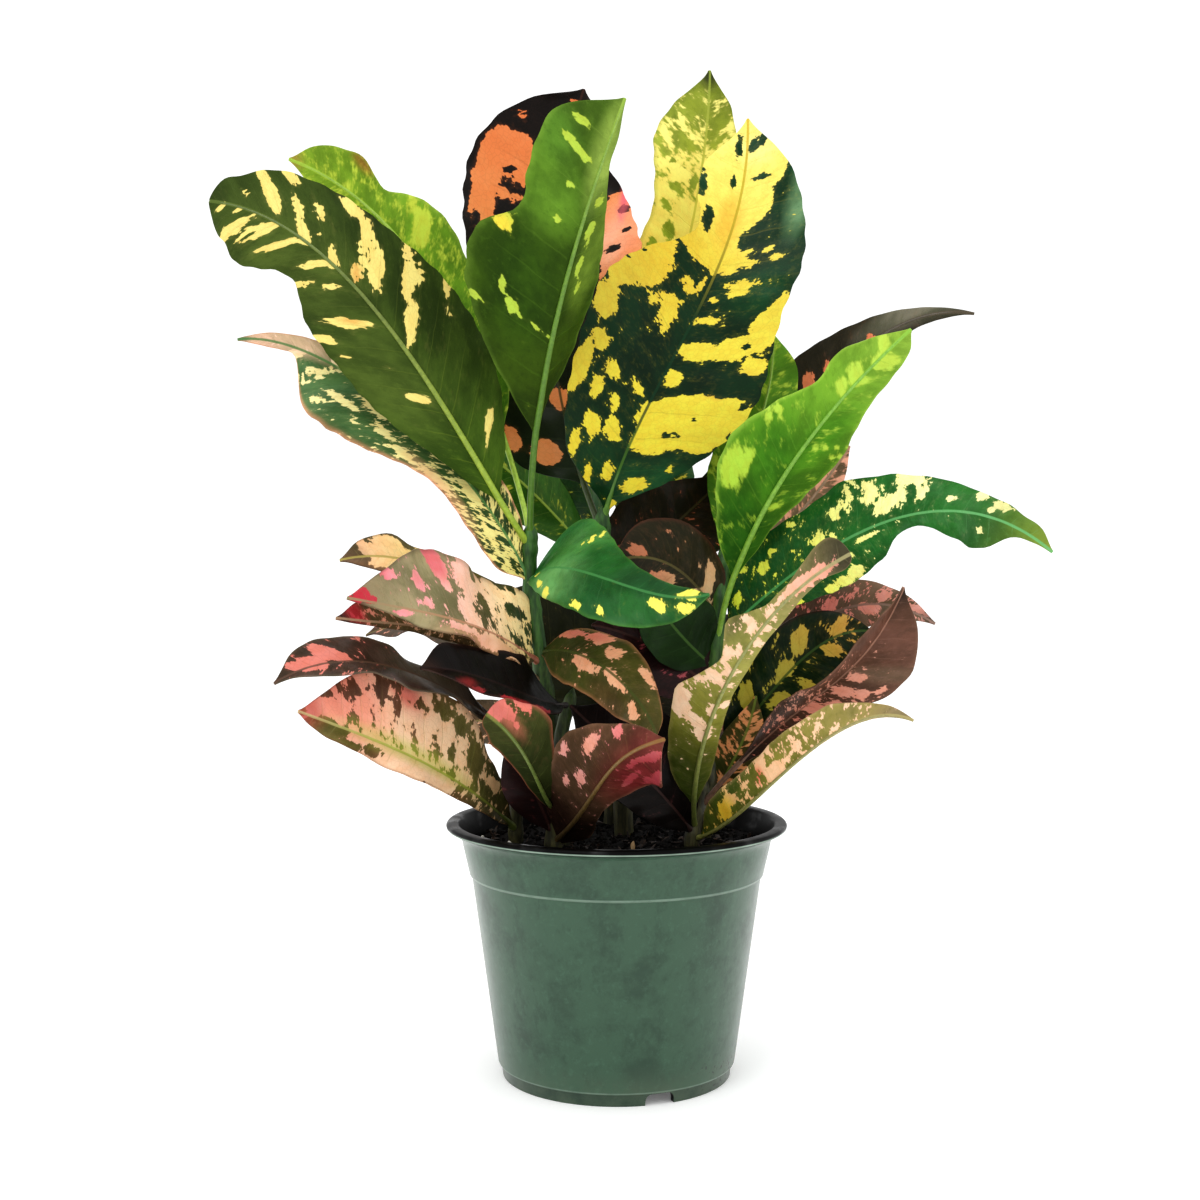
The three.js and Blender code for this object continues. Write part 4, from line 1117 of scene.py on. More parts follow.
stem("left_stem", "stem_left", [256, 262, 257, 236, 239, 228, 200, 190, 205], 40)
leaf("stem_left", "long_olive", 256, 0.16, [[-75, -34, 312], [-124, -36, 379], [-190, -22, 417]],
     [200, 0, 185, 0], [9, 17, 22, 27, 31, 34, 36, 37, 37, 36, 34, 32, 31, 30, 29, 27, 25, 21, 14],
     [6, 10, 14, 18, 22, 25, 27.5, 29, 29.5, 30, 29.5, 28, 23, 17.5, 18.5, 22.5, 25, 24, 17],
     wave=[2, 3, 0], form=[12, 12, 0, 1],
     ground=["44601c", "3d521d", "334419", "3f5022"], blotch=["e0d07c"],
     rib_tone=["a2b83c", "6f7c34", "5c6c34"], cover=-0.75, soft=0.06, slant=0.95,
     patches=[(0.87, -0.5, 9, 4.5), (0.85, -0.93, 4, 3.2), (0.92, -0.4, 1.7, 1.7), (0.8, -0.45, 4, 2.6),
              (0.75, -0.1, 4.5, 4), (0.75, -0.55, 3.5, 3), (0.7, -0.9, 3.2, 7), (0.72, -0.2, 1.6, 1.6),
              (0.66, -0.08, 4, 3.6), (0.6, -0.15, 4, 3), (0.65, -0.72, 8, 4.4), (0.58, -0.42, 8, 5),
              (0.63, -0.5, 5, 2.4), (0.57, -0.93, 5, 3.2), (0.52, -0.6, 8, 3.8), (0.52, -0.82, 4.5, 2.2),
              (0.45, -0.3, 8, 4.2), (0.47, -0.97, 5, 3.2), (0.42, -0.8, 2, 1.6), (0.17, -0.65, 7, 2.6),
              (0.93, 0.6, 9, 4.2), (0.86, 0.35, 9, 4), (0.97, 0.15, 2.5, 1.6), (0.92, 0.06, 2, 1.5),
              (0.79, 0.42, 9, 2.6), (0.68, 0.25, 5.5, 2.4), (0.62, 0.3, 3.5, 1.5), (0.68, 0.85, 5, 2.4),
              (0.53, 0.45, 8.5, 3.4), (0.54, 0.93, 5, 3.6), (0.47, 0.8, 3, 1.7), (0.3, 0.3, 4, 3.2)],
     holes=[(0.87, 0.42, 3.4, 1.2)],
     tints=[(0.72, 0.6, 18, 40, "55662f", 0.6, "ground"), (0.4, 0.6, 16, 30, "5c6e34", 0.5, "ground"),
            (0.5, -0.7, 14, 40, "29380f", 0.5, "ground"), (0.6, -0.15, 4, 3, "c9803a", 0.6, "blotch"),
            (0.53, 0.4, 4, 2, "c9803a", 0.5, "blotch")])
leaf("stem_left", "light_green", 262, 0.2, [[-68, 8, 343], [-108, 22, 408], [-162, 30, 447]],
     [165, 0, 165, 0], [7, 12, 16, 20, 23, 24, 22, 20, 22, 24, 24, 22, 18, 12, 13.5, 18, 17, 14.5, 10],
     [12, 20, 24, 25, 24, 21, 18, 16, 9], wave=[2, 3, 1],
     ground=["4f7d1f", "74a02c", "8aac38"], blotch=["bccf4a"], rib_tone=["a9c84a", "a0c04a"], cover=-0.3,
     soft=0.35, marble=0.7, patches=[(0.55, -0.5, 8, 6), (0.5, 0.5, 8, 6), (0.62, -0.8, 5, 3)],
     tints=[(1, 0, 14, 7, "9a6a44", 0.6), (0.8, -0.93, 4, 5, "b06a3c", 0.7),
            (0.3, 0.4, 14, 16, "41701a", 0.6)], edge=("b4cc60", 0.4))
leaf("stem_left", "tall_green", 257, 0.25, [[-35, -40, 326], [-19, -62, 390], [3, -70, 453]],
     [210, 0, 210, 0], [7, 19, 24, 26, 24, 21, 14, 6, 5],
     [8, 14, 20, 26, 31, 36, 41, 45, 46, 46, 42, 30, 28, 30, 31, 31, 30, 28, 18], wave=[1, 3, 2],
     form=[30, 30, 0, 0],
     ground=["34480f", "395210", "3d5a17", "4f6c24"], blotch=["a9c24a"],
     rib_tone=["547a1c", "688c2c", "94b04e"], cover=-0.8, soft=0.12, slant=0.4,
     patches=[(0.565, 0.86, 5, 4), (0.84, 0.55, 6, 1.8), (0.81, 0.3, 6, 1.6), (0.9, 0.5, 5, 1.8),
              (0.62, 0.4, 3, 1.2), (0.4, 0.62, 1.8, 4), (0.345, 0.5, 3, 3), (0.3, 0.22, 8, 1),
              (0.35, 0.95, 5, 1.4), (0.72, 0.35, 2, 1.3), (0.6, -0.35, 3, 6), (0.5, -0.3, 2, 5),
              (0.44, -0.4, 2, 4), (0.7, -0.5, 3, 4)],
     tints=[(0.7, 0.7, 16, 14, "6a9434", 0.75, "ground"), (0.85, 0.8, 10, 10, "5c8a34", 0.5, "ground"),
            (0.56, 0.86, 5, 4, "e6cf4a", 0.9, "blotch"), (0.4, 0.4, 14, 20, "27460f", 0.5, "ground"),
            # The two light green tints on the left half are painted sheen.
            (0.55, -0.6, 8, 24, "7c983c", 0.75, "ground"), (0.85, -0.6, 7, 22, "9ab45c", 0.8, "ground")],
     edge=("86a84a", 0.3))
leaf("stem_left", "mid_left", 236, 0.03, [[-75, -20, 292], [-128, -15, 338], [-178, -20, 353]],
     [25, 10, 10, 0], [11, 14, 14.5, 15, 14.5, 14, 15, 18, 22, 26, 28, 29, 28, 26, 17, 4, 3, 3, 2],
     [8, 12, 14, 16, 16, 14, 9, 6, 3.5], wave=[2, 3, 3], form=[10, 10, 0, 0],
     ground=["22401e", "3a5c34", "54784c", "3c6238"], blotch=["ece08c", "f2e8ac"],
     rib_tone=["5c8a4c", "4a7a44"], cover=[0.0, 0.0, -0.15, -0.35, -0.45, -0.4], soft=0.05, slant=1.1,
     marble=0.6,
     patches=[(0.68, -0.7, 3, 3), (0.62, -0.45, 2, 9), (0.55, -0.25, 2, 10), (0.5, -0.5, 2, 6),
              (0.42, -0.75, 2, 8), (0.33, -0.85, 3, 9), (0.25, -0.2, 2.5, 8), (0.15, -0.5, 2, 9),
              (0.36, -0.15, 2, 8), (0.72, -0.3, 3, 4), (0.8, -0.6, 3, 4), (0.75, -0.8, 3, 2),
              (0.69, 0.2, 8, 1.6), (0.6, 0.5, 9, 1.6), (0.5, 0.3, 7, 1.6)],
     tints=[(0.97, 0, 12, 22, "f2c8ba", 0.98), (0.8, 0.9, 6, 16, "f4d0bc", 0.9),
            (1, 0, 5, 5, "8c8478", 0.9), (0.3, -0.9, 3, 20, "e6b090", 0.5),
            # The grey-green tint "567a5c" is partly the leaf's own paler colour and partly painted sheen.
            (0.6, -0.3, 8, 10, "567a5c", 0.5, "ground")], edge=("e0a288", 0.8))
leaf("stem_left", "front_green", 239, 0, [[-20, -60, 246], [9, -91, 238], [38, -110, 237]], [0, 30, 0, 30],
     [28, 31, 27, 21, 15, 10.5, 8, 6.5, 5], [7, 12, 16, 19, 21, 22, 22, 20, 17, 13, 8], wave=[2, 2, 0],
     form=[8, 8, 0.1, 0],
     ground=["2b6e36", "2a6630", "205628"], blotch=["e6e264"], rib_tone=["4c8a4c", "3f7a44"], cover=-0.72,
     soft=0.05, marble=0.7,
     patches=[(0.3, -0.72, 6, 1.8), (0.12, 0.3, 2, 2), (0.22, 0.75, 2.2, 2.2), (0.3, 0.85, 3.4, 2.4),
              (0.5, 0.85, 3, 2.5), (0.6, 0.8, 2, 2), (0.78, 0.3, 3, 5), (0.9, -0.3, 3, 5), (0.9, 0.6, 3, 4),
              (0.06, 0.5, 2, 2)],
     # The light green tints "76b074" and "5c9a54" are painted sheen.
     tints=[(0.3, 0.45, 12, 16, "76b074", 0.7, "ground"), (0.7, -0.4, 6, 16, "17452a", 0.5, "ground"),
            (0.25, -0.6, 12, 14, "5c9a54", 0.6, "ground"), (0.5, 0.5, 10, 14, "17452a", 0.5, "ground")],
     edge=("5a8a40", 0.4))
leaf("stem_left", "yellow_left", 228, 0.1, [[-72, -27, 240], [-98, -42, 250], [-126, -52, 250]],
     [0, 30, 0, 30], [4, 6, 7, 8, 9, 10, 10, 8, 5], [5, 6, 7, 7, 7.5, 8, 12, 10.5, 7], wave=[1, 2, 1],
     ground=["5c5a34", "6a6240", "62543c"], blotch=["e8c87c", "efd98a", "e6b496"], rib_tone=["a89a54"],
     cover=-0.5, soft=0.1, marble=0.6,
     patches=[(0.7, 0.3, 8, 8), (0.75, -0.2, 5, 7), (0.84, 0.4, 5, 4), (0.5, 0.3, 5, 6)],
     tints=[(0.97, 0, 8, 8, "6f5648", 0.7), (0.8, -0.8, 6, 20, "8c6450", 0.6, "ground")],
     edge=("54402e", 0.6))
leaf("stem_left", "pink_left", 200, 0.05, [[-58, -50, 217], [-82, -80, 227], [-116, -100, 235]],
     [0, 30, 0, 30], [14, 15, 14, 12, 11, 10, 8, 6, 3],
     [20, 26, 27, 27, 28, 28, 27, 27, 28, 29, 31, 32, 32, 30, 27, 23, 18, 13, 7], wave=[2.5, 3, 4],
     ground=["243c1c", "344a24", "645f40", "8c826a", "a0967c", "948a72", "7c6c5a"],
     blotch=["f4e29a", "f4dca4", "f2ccac", "f2c0b0", "eca4a4", "e4949a", "b83444"],
     rib_tone=["b06c54", "b88a6c", "8c8060"], cover=[0.05, 0.0, -0.05, -0.12, -0.35, -0.5, -0.6], soft=0.06,
     slant=0.5, marble=0.7,
     patches=[(0.1, 0.85, 8, 5), (0.19, 0.8, 3, 11), (0.27, 0.85, 6, 5), (0.2, 0.4, 2.4, 8),
              (0.35, 0.75, 8, 6), (0.45, 0.75, 9, 7), (0.62, 0.82, 9, 6), (0.56, 0.55, 4, 3),
              (0.72, 0.5, 4.5, 4), (0.66, 0.15, 2, 4), (0.42, 0.2, 6, 6), (0.3, -0.5, 5, 16),
              (0.86, 0.85, 2.6, 4), (0.95, 0.5, 3, 3), (0.92, 0.1, 2, 4), (0.97, -0.3, 3, 3),
              (0.5, -0.4, 3, 8), (0.78, -0.4, 3, 3)],
     holes=[(0.56, 0.3, 6, 5), (0.69, 0.88, 3, 3), (0.33, 0.5, 5, 4), (0.15, 0.6, 3, 8), (0.4, 0.9, 3, 3)],
     tints=[(0.62, 0.85, 9, 7, "d25e6a", 0.8, "blotch"), (0.72, 0.5, 5, 4, "e08c92", 0.7, "blotch"),
            (0.93, 0.4, 12, 10, "b02838", 0.9, "blotch"), (0.3, -0.7, 8, 30, "c98a72", 0.5),
            (0.97, 0.1, 6, 5, "4c2626", 0.7, "ground")], edge=("4a3428", 0.5))
leaf("stem_left", "pink_left_low", 190, 0.1, [[-65, -48, 213], [-94, -76, 222], [-122, -92, 226]],
     [0, 30, 0, 30], [4, 5, 5, 5, 4, 3.5, 3, 2, 1.5], [5, 8, 10, 12, 13, 13, 12, 10.5, 7.5],
     wave=[1.5, 3, 2],
     ground=["54482e", "6a5e42", "4a382c"], blotch=["e6cca0", "e2bc98", "c05050"], rib_tone=["a08468"],
     cover=-0.15, soft=0.1, marble=0.4,
     tints=[(0.97, 0, 8, 7, "3a2422", 0.8), (0.9, 0.5, 5, 4, "b02c3c", 0.8)], edge=("4a3428", 0.6))
leaf("stem_left", "olive_centre", 205, 0.02, [[-12, -42, 204], [8, -55, 188], [17, -62, 171]],
     [0, 30, 0, 30], [13, 16, 17, 14, 10, 6], [13, 17, 17, 15, 12, 7], wave=[2, 2, 1],
     form=[10, 10, 0.1, 0],
     ground=["3a4320", "4c4f26", "5a562a", "504a26"], blotch=["e49c80", "f0b892", "e8ac88"],
     rib_tone=["4c5426"], cover=-0.45, soft=0.06, marble=0.6,
     patches=[(0.12, -0.8, 3, 8), (0.28, -0.75, 4, 6), (0.4, -0.5, 4, 4), (0.5, 0.1, 3, 8),
              (0.3, 0.2, 4, 7), (0.72, 0.4, 3, 4), (0.62, -0.8, 2, 5)],
     tints=[(0.2, -0.8, 5, 12, "d8786c", 0.7, "blotch"), (0.6, 0.8, 6, 12, "6c4c38", 0.5, "ground")],
     edge=("c08468", 0.6))

# The right stem, with the bright green leaf turned from the light, the one that bends over at the far right,
# and the inner leaves. It is the same round green bar, with its leaves grown out of it.
stem("right_stem", "stem_right", [205, 248, 250, 211, 145, 198, 234, 124, 220, 187, 198], 41)
leaf("stem_right", "bright_green", 205, 0.21, [[63, -30, 263], [93, -50, 313], [130, -65, 353]],
     [200, 0, 190, 0], [4, 7, 8, 9, 11.5, 14, 16, 18, 19, 19.5, 18, 16, 14.4, 13, 12, 11.5, 10.5, 9.2, 7],
     [8, 14, 18, 22, 26, 29, 30, 30.5, 28, 25, 22, 18, 14, 13.6, 15.5, 14.4, 11.5, 8, 4], wave=[1, 3, 0],
     ground=["35651a", "47781c", "5c9028", "79a63a", "90b44c"], blotch=["a0c43c", "b4d256"],
     rib_tone=["84ac3c", "7fb040", "8cbc4c"], cover=-0.45, soft=0.32, slant=0.6,
     patches=[(0.31, 0.78, 6, 8), (0.33, 0.6, 3, 8), (0.76, 0.1, 5, 4), (0.7, 0.25, 4, 3),
              (0.86, -0.3, 5, 5), (0.52, -0.6, 7, 1.3), (0.5, -0.85, 4, 1.4), (0.26, -0.35, 3, 2.2),
              (0.5, 0.95, 5, 2), (0.44, 0.55, 1.6, 1.4), (0.9, 0.5, 5, 3), (0.53, 0.85, 5, 1.6)],
     tints=[(0.15, 0.4, 12, 18, "245a12", 0.7, "ground"), (0.4, 0.3, 10, 12, "3a7a1c", 0.6, "ground"),
            (0.55, -0.3, 6, 14, "458c1e", 0.5, "ground")], edge=("a8cc5c", 0.5))
leaf("stem_right", "half_hidden", 248, 0.1, [[60, 25, 284], [74, 36, 324], [79, 48, 364]], [180, 0, 180, 0],
     [10, 16, 18, 18, 16, 12], [10, 16, 18, 18, 16, 12], wave=[2, 3, 1],
     ground=["3c6a1c", "56872a", "5f8f2c"], blotch=["a0bc42"], rib_tone=["8cae4a"], cover=-0.2, soft=0.2)
leaf("stem_right", "dark_right", 250, 0.15, [[82, 40, 304], [125, 45, 355], [178, 30, 371]],
     [160, 0, 160, 0], [10, 16, 20, 20, 14, 9, 5, 3], [10, 16, 20, 22, 18, 12, 7, 3], wave=[2, 3, 2],
     form=[10, 10, 0, 0],
     ground=["2c2519", "2e2a24", "38342c", "4a4740"], blotch=["dd8660"], rib_tone=["5c5346"], cover=-0.62,
     soft=0.05,
     patches=[(0.47, 0.0, 7, 3.6), (0.37, -0.35, 3, 2), (0.3, 0.1, 8, 3.4), (0.64, 0.15, 3, 1.6),
              (0.56, -0.3, 2, 1.5), (0.22, -0.5, 9, 4), (0.42, 0.3, 6, 4), (0.42, -0.3, 8, 4),
              (0.62, -0.3, 3, 2.4), (0.25, 0.4, 4, 3)], tints=[(0.8, 0.9, 6, 24, "8f8c84", 0.6, "ground")])
leaf("stem_right", "far_right", 211, 0.05, [[93, -20, 250], [143, -42, 272], [194, -64, 254]],
     [15, 30, -10, 15],
     [12, 22, 24, 24, 23.5, 23, 23, 25, 27, 24, 22, 19.5, 17, 15, 12.5, 10.2, 8.8, 6.5, 5.5],
     [3, 6, 10, 14.5, 17, 19, 20, 20, 18.5, 16, 8.5, 6, 7.4, 11.2, 14, 17, 15, 5, 2], wave=[1.5, 3, 3],
     form=[10, 10, 0.1, 0],
     ground=["113a18", "185020", "1e6024", "287030", "2e6c2c", "7c8c3c"],
     blotch=["d3e040", "e0e65a", "f0f0a0", "f0eeb0", "a0a850"], rib_tone=["3f8a48", "5fa060", "6fb070"],
     cover=[-0.36, -0.32, -0.4, -0.5, -0.6, -0.8], soft=0.05, slant=0.35, marble=0.48,
     patches=[(0.45, -0.72, 7, 2), (0.405, -0.52, 4, 2), (0.335, -0.3, 4, 2.8), (0.375, -0.2, 3, 1.4),
              (0.29, -0.85, 1.6, 1.6), (0.505, -0.62, 5, 4), (0.5, -0.82, 3, 3.4), (0.53, -0.35, 4.4, 4.4),
              (0.605, -0.88, 2.6, 5.5), (0.63, -0.55, 6, 2), (0.575, -0.5, 5.5, 2.8),
              (0.585, -0.98, 1.6, 1.2), (0.71, -0.42, 1.7, 2.1), (0.785, -0.8, 2.4, 2.8),
              (0.84, -0.75, 2.6, 4), (0.82, -0.4, 1.5, 2.6), (0.46, 0.2, 1.3, 7), (0.385, 0.4, 1.7, 3.4),
              (0.39, 0.85, 3, 6), (0.34, 0.85, 2.6, 4), (0.3, 0.9, 2.6, 3), (0.18, 0.9, 3, 5),
              (0.08, 0.9, 2.6, 4), (0.81, 0.45, 2, 1.8), (0.175, -0.45, 4, 2.4), (0.22, -0.62, 1.6, 1.5),
              (0.07, -0.5, 3, 2.8), (0.26, -0.35, 2, 1.4), (0.13, -0.7, 2, 1.4)])
leaf("stem_right", "blotched_right", 145, 0.1, [[70, 0, 179], [94, -15, 207], [120, -25, 216]],
     [0, 20, 0, 20], [12, 18, 21, 19, 16, 9], [13, 20, 22, 20, 16, 9], wave=[2, 2, 1],
     ground=["0e2414", "10280f", "12240f"], blotch=["a8a43c", "b9ac46", "c8944c"], rib_tone=["3c5424"],
     cover=-0.3, soft=0.06, marble=0.8,
     patches=[(0.25, -0.5, 5, 5), (0.45, -0.1, 4, 6), (0.8, -0.3, 5, 4), (0.35, 0.3, 5, 5),
              (0.6, -0.4, 6, 5), (0.72, 0.3, 5, 5), (0.5, 0.6, 5, 4)], edge=("3a1d18", 0.7))
leaf("stem_right", "pink_far_right", 198, 0.15, [[92, 20, 216], [123, 15, 227], [155, 5, 218]],
     [0, 20, 0, 20], [8, 12, 14, 13, 10, 6], [8, 12, 14, 13, 10, 6], wave=[2, 2, 2],
     ground=["3a2a26", "54423c", "7c665c", "8f786c"], blotch=["c8685e", "d88078", "e49a8e", "e8aca0"],
     rib_tone=["6c4c44", "a08478"], cover=[-0.3, -0.25, -0.2, -0.15], soft=0.06, marble=0.5,
     patches=[(0.4, -0.3, 4, 3), (0.62, 0.2, 4, 6), (0.72, -0.5, 3, 3), (0.85, 0.4, 2, 7),
              (0.9, -0.5, 2, 6)], tints=[(1, 0, 8, 7, "5c4c44", 0.8)], edge=("8c6c60", 0.5))
leaf("stem_right", "pink_strip", 234, 0.15, [[78, 15, 259], [98, 20, 281], [115, 20, 305]],
     [180, 0, 180, 0], [8, 10, 11, 10, 9, 6], [8, 10, 12, 10, 8, 5], wave=[1.5, 3, 3],
     ground=["7a6a58", "84705f", "6c5a4c"], blotch=["e0a088", "e4a890"], rib_tone=["9c8068"], cover=-0.1,
     soft=0.12)
leaf("stem_right", "low_blotched", 124, 0.1, [[52, 4, 142], [61, -3, 162], [67, -6, 184]], [0, 10, 0, 10],
     [7, 10, 11, 10, 6], [7, 10, 11, 10, 6], wave=[1, 2, 3],
     ground=["2c3a18", "4a4a22"], blotch=["e2a06c"], rib_tone=["6c7a34"], cover=-0.1, soft=0.08)
# The three inner leaves have dark grounds, painted as the shade inside the plant.
leaf("stem_right", "inner_dark", 220, 0.05, [[35, -12, 240], [18, -18, 250], [-2, -22, 249]],
     [0, 10, 0, 10], [12, 17, 19, 19, 13], [14, 19, 21, 20, 14], wave=[1.5, 2, 0], form=[10, 10, 0, 0],
     ground=["3a3420", "2c2a18", "241f14"], blotch=["dcc496", "d8ac80", "b87858", "a86c50"],
     rib_tone=["5c5430"], cover=-0.4, soft=0.08, marble=0.7,
     patches=[(0.55, -0.5, 6, 8), (0.2, -0.3, 9, 3), (0.1, -0.5, 6, 3), (0.2, 0.4, 8, 3), (0.8, 0.2, 3, 5)],
     edge=("5c3428", 0.6))
leaf("stem_right", "inner_maroon", 187, 0.05, [[30, -14, 200], [10, -18, 212], [-12, -22, 219]],
     [0, 10, 0, 10], [14, 19, 20, 18, 12], [14, 19, 20, 18, 12], wave=[1.5, 2, 1],
     ground=["2a1618", "30191a"], blotch=["b85c64"], rib_tone=["4c302a"], cover=-0.4, soft=0.1,
     patches=[(0.4, 0.6, 3, 9)])
leaf("stem_right", "inner_green", 198, 0.05, [[33, -18, 211], [22, -26, 224], [11, -32, 238]],
     [0, 10, 0, 10], [12, 16, 17, 15, 9], [14, 19, 20, 17, 10], wave=[1.5, 2, 2],
     ground=["183210", "1c3814"], blotch=["3c6420"], rib_tone=["44642c"], cover=-0.8, soft=0.2)

# The middle stem, at the back, with the broad yellow and dark green leaf, the orange-blotched dark one
# and the yellow one at the top.
stem("middle_stem", "stem_centre", [266, 262, 268, 236, 170, 165], 42)
leaf("stem_centre", "yellow_hero", 266, 0.04, [[19, 5, 331], [51, 20, 395], [66, 40, 469]], [15, 5, -10, 5],
     [28, 38, 44, 48, 48, 38, 17, 21, 20], [22, 35, 43, 46, 42, 38, 38.5, 33, 22], wave=[2.5, 3, 0],
     form=[10, 10, 0, 0],
     ground=["12401f", "0b2c16", "0c331a", "124024"], blotch=["e0cf3c", "e2d346", "dccb4c", "eee27a"],
     rib_tone=["5f8a2c", "123620", "14381e", "a8962a", "c8a82c"], cover=-0.52, soft=0.045, slant=0.42,
     marble=0.62,
     patches=[(0.95, 0, 30, 16), (0.88, -0.3, 16, 16), (0.8, -0.45, 14, 16), (0.72, -0.4, 12, 12),
              (0.8, 0.2, 10, 12), (0.87, 0.3, 12, 10), (0.9, 0.75, 5, 7), (0.6, -0.92, 14, 20),
              (0.67, -0.4, 22, 9), (0.655, -0.1, 8, 7), (0.565, -0.25, 2.6, 4.4), (0.555, -0.13, 1.7, 3.4),
              (0.49, -0.27, 5, 8), (0.45, -0.25, 3.4, 4), (0.51, -0.5, 2.2, 7), (0.42, -0.35, 1.4, 1.5),
              (0.385, -0.42, 1.6, 3), (0.585, -0.1, 1.4, 5), (0.52, -0.9, 8, 12), (0.43, -0.88, 7, 9),
              (0.345, -0.78, 5.5, 4), (0.27, -0.92, 5, 13), (0.3, -0.55, 6, 3), (0.25, -0.66, 3.6, 5),
              (0.235, -0.4, 2.5, 4), (0.29, -0.2, 5, 2.3), (0.17, -0.6, 5, 5), (0.18, -0.3, 5, 4.6),
              (0.07, -0.75, 2.5, 4), (0.085, -0.2, 3, 4.4), (0.12, -0.85, 3, 5), (0.71, 0.55, 1.7, 2),
              (0.695, 0.66, 4, 1.9), (0.665, 0.35, 3.7, 3), (0.635, 0.14, 3, 2.4), (0.62, 0.4, 9, 1.7),
              (0.6, 0.38, 6, 2.5), (0.64, 0.75, 2, 1), (0.555, 0.12, 3.5, 1.3), (0.51, 0.17, 7, 2.3),
              (0.435, 0.22, 10, 5), (0.455, 0.5, 9, 4.4), (0.55, 0.88, 8, 10), (0.49, 0.66, 11, 5.5),
              (0.46, 0.85, 6, 5), (0.6, 0.95, 4, 6), (0.28, 0.5, 24, 13), (0.2, 0.3, 12, 8),
              (0.33, 0.8, 12, 8), (0.24, 0.75, 12, 7), (0.35, 0.1, 4, 5), (0.365, 0.27, 1.5, 2.2),
              (0.075, 0.55, 6, 4), (0.14, 0.8, 1.7, 1.3), (0.015, 0.5, 2, 2)],
     holes=[(0.935, -0.3, 1.8, 7), (0.85, -0.22, 1.6, 4), (0.83, -0.92, 2.4, 7), (0.74, -0.78, 2.8, 8),
            (0.87, 0.35, 4.5, 1.7), (0.94, 0.25, 3, 3.6), (0.95, 0.7, 2.4, 3), (0.6, -0.99, 2.2, 2.2),
            (0.56, -0.98, 1.8, 1.8), (0.475, 0.27, 2.6, 1.7), (0.49, 0.7, 2.3, 2), (0.43, 0.5, 5, 1.3),
            (0.395, 0.3, 14, 2), (0.4, 0.75, 18, 2.2), (0.36, 0.92, 2.6, 2.2), (0.285, 0.56, 2.4, 1.5),
            (0.225, 0.43, 3.8, 1.6), (0.37, -0.9, 4, 1.6), (0.33, -0.97, 2, 3), (0.46, -0.75, 2, 5)],
     tints=[(0.62, -0.8, 26, 26, "cfae30", 0.6, "blotch"), (0.45, -0.9, 16, 40, "b9a236", 0.6, "blotch"),
            (0.4, 0.7, 12, 6, "d0a63a", 0.6, "blotch"), (0.37, 0.6, 4, 3, "d0703a", 0.6, "blotch"),
            # The pale grey-green tint along the right edge, "6f9474", is painted sheen.
            (0.75, -0.15, 5, 12, "dca838", 0.6, "blotch"), (0.83, 0.97, 5, 16, "6f9474", 0.8, "ground"),
            (0.94, 0.5, 10, 8, "f0e690", 0.7, "blotch"), (0.6, 0.55, 12, 10, "16502e", 0.5, "ground"),
            (0.1, 0.7, 14, 10, "1c5a34", 0.6, "ground")])
leaf("stem_centre", "dark_orange", 262, 0.12, [[-28, 30, 333], [-32, 45, 407], [-16, 45, 485]],
     [-20, 0, -10, 0], [18, 30, 33, 36, 38, 40, 41.5, 43, 44, 45, 44, 42.5, 45, 47, 48.5, 48.5, 45, 37, 23],
     [14, 26, 31, 35, 38, 41, 44, 47, 49, 50, 50, 49, 46, 42, 37, 30, 21, 24.5, 15], wave=[2, 3, 2],
     form=[10, 10, 0, 0],
     ground=["1a2a12", "1c2412", "1a140d", "170f0c", "180e0c"],
     blotch=["d8925c", "de8a50", "e08c50", "dc7a4a"], rib_tone=["3c4a20", "33281a", "3a2018"], cover=-0.85,
     soft=0.045, slant=0.35,
     patches=[(0.79, -0.62, 14, 17), (0.72, -0.8, 10, 13), (0.83, -0.5, 9, 8), (0.665, -0.35, 5, 2.6),
              (0.645, -0.78, 5, 3), (0.91, -0.75, 3, 2.2), (0.965, -0.1, 3.2, 1.4), (0.775, 0.55, 2, 6),
              (0.75, 0.62, 2, 5), (0.66, 0.78, 13, 15), (0.6, 0.78, 13, 14), (0.72, 0.82, 7, 10),
              (0.54, 0.75, 11, 12), (0.47, 0.8, 8, 9), (0.1, -0.45, 7, 7), (0.22, -0.02, 5, 7),
              (0.16, -0.85, 4, 6), (0.3, 0.5, 6, 7), (0.35, -0.7, 5, 6)],
     holes=[(0.6, 0.7, 4, 3), (0.72, 0.9, 3, 3), (0.55, 0.9, 3, 2.5), (0.79, -0.55, 3.4, 2),
            (0.75, -0.5, 8, 3), (0.708, -0.5, 7, 3.4), (0.695, -0.62, 2.6, 4), (0.675, -0.85, 3, 3),
            (0.66, 0.88, 2.6, 2.4), (0.69, 0.5, 2, 3), (0.71, -0.99, 2.4, 22), (0.8, -1, 2.2, 8)],
     tints=[(0.79, 0.75, 6, 6, "cf4460", 0.7, "blotch"), (0.65, 0.8, 14, 18, "f2a07c", 0.8, "blotch"),
            (0.6, 0.6, 8, 12, "f4c0a4", 0.4, "blotch"), (0.67, -0.4, 8, 6, "e0503c", 0.7, "blotch"),
            (0.75, 0.97, 2, 12, "e06078", 0.8)])
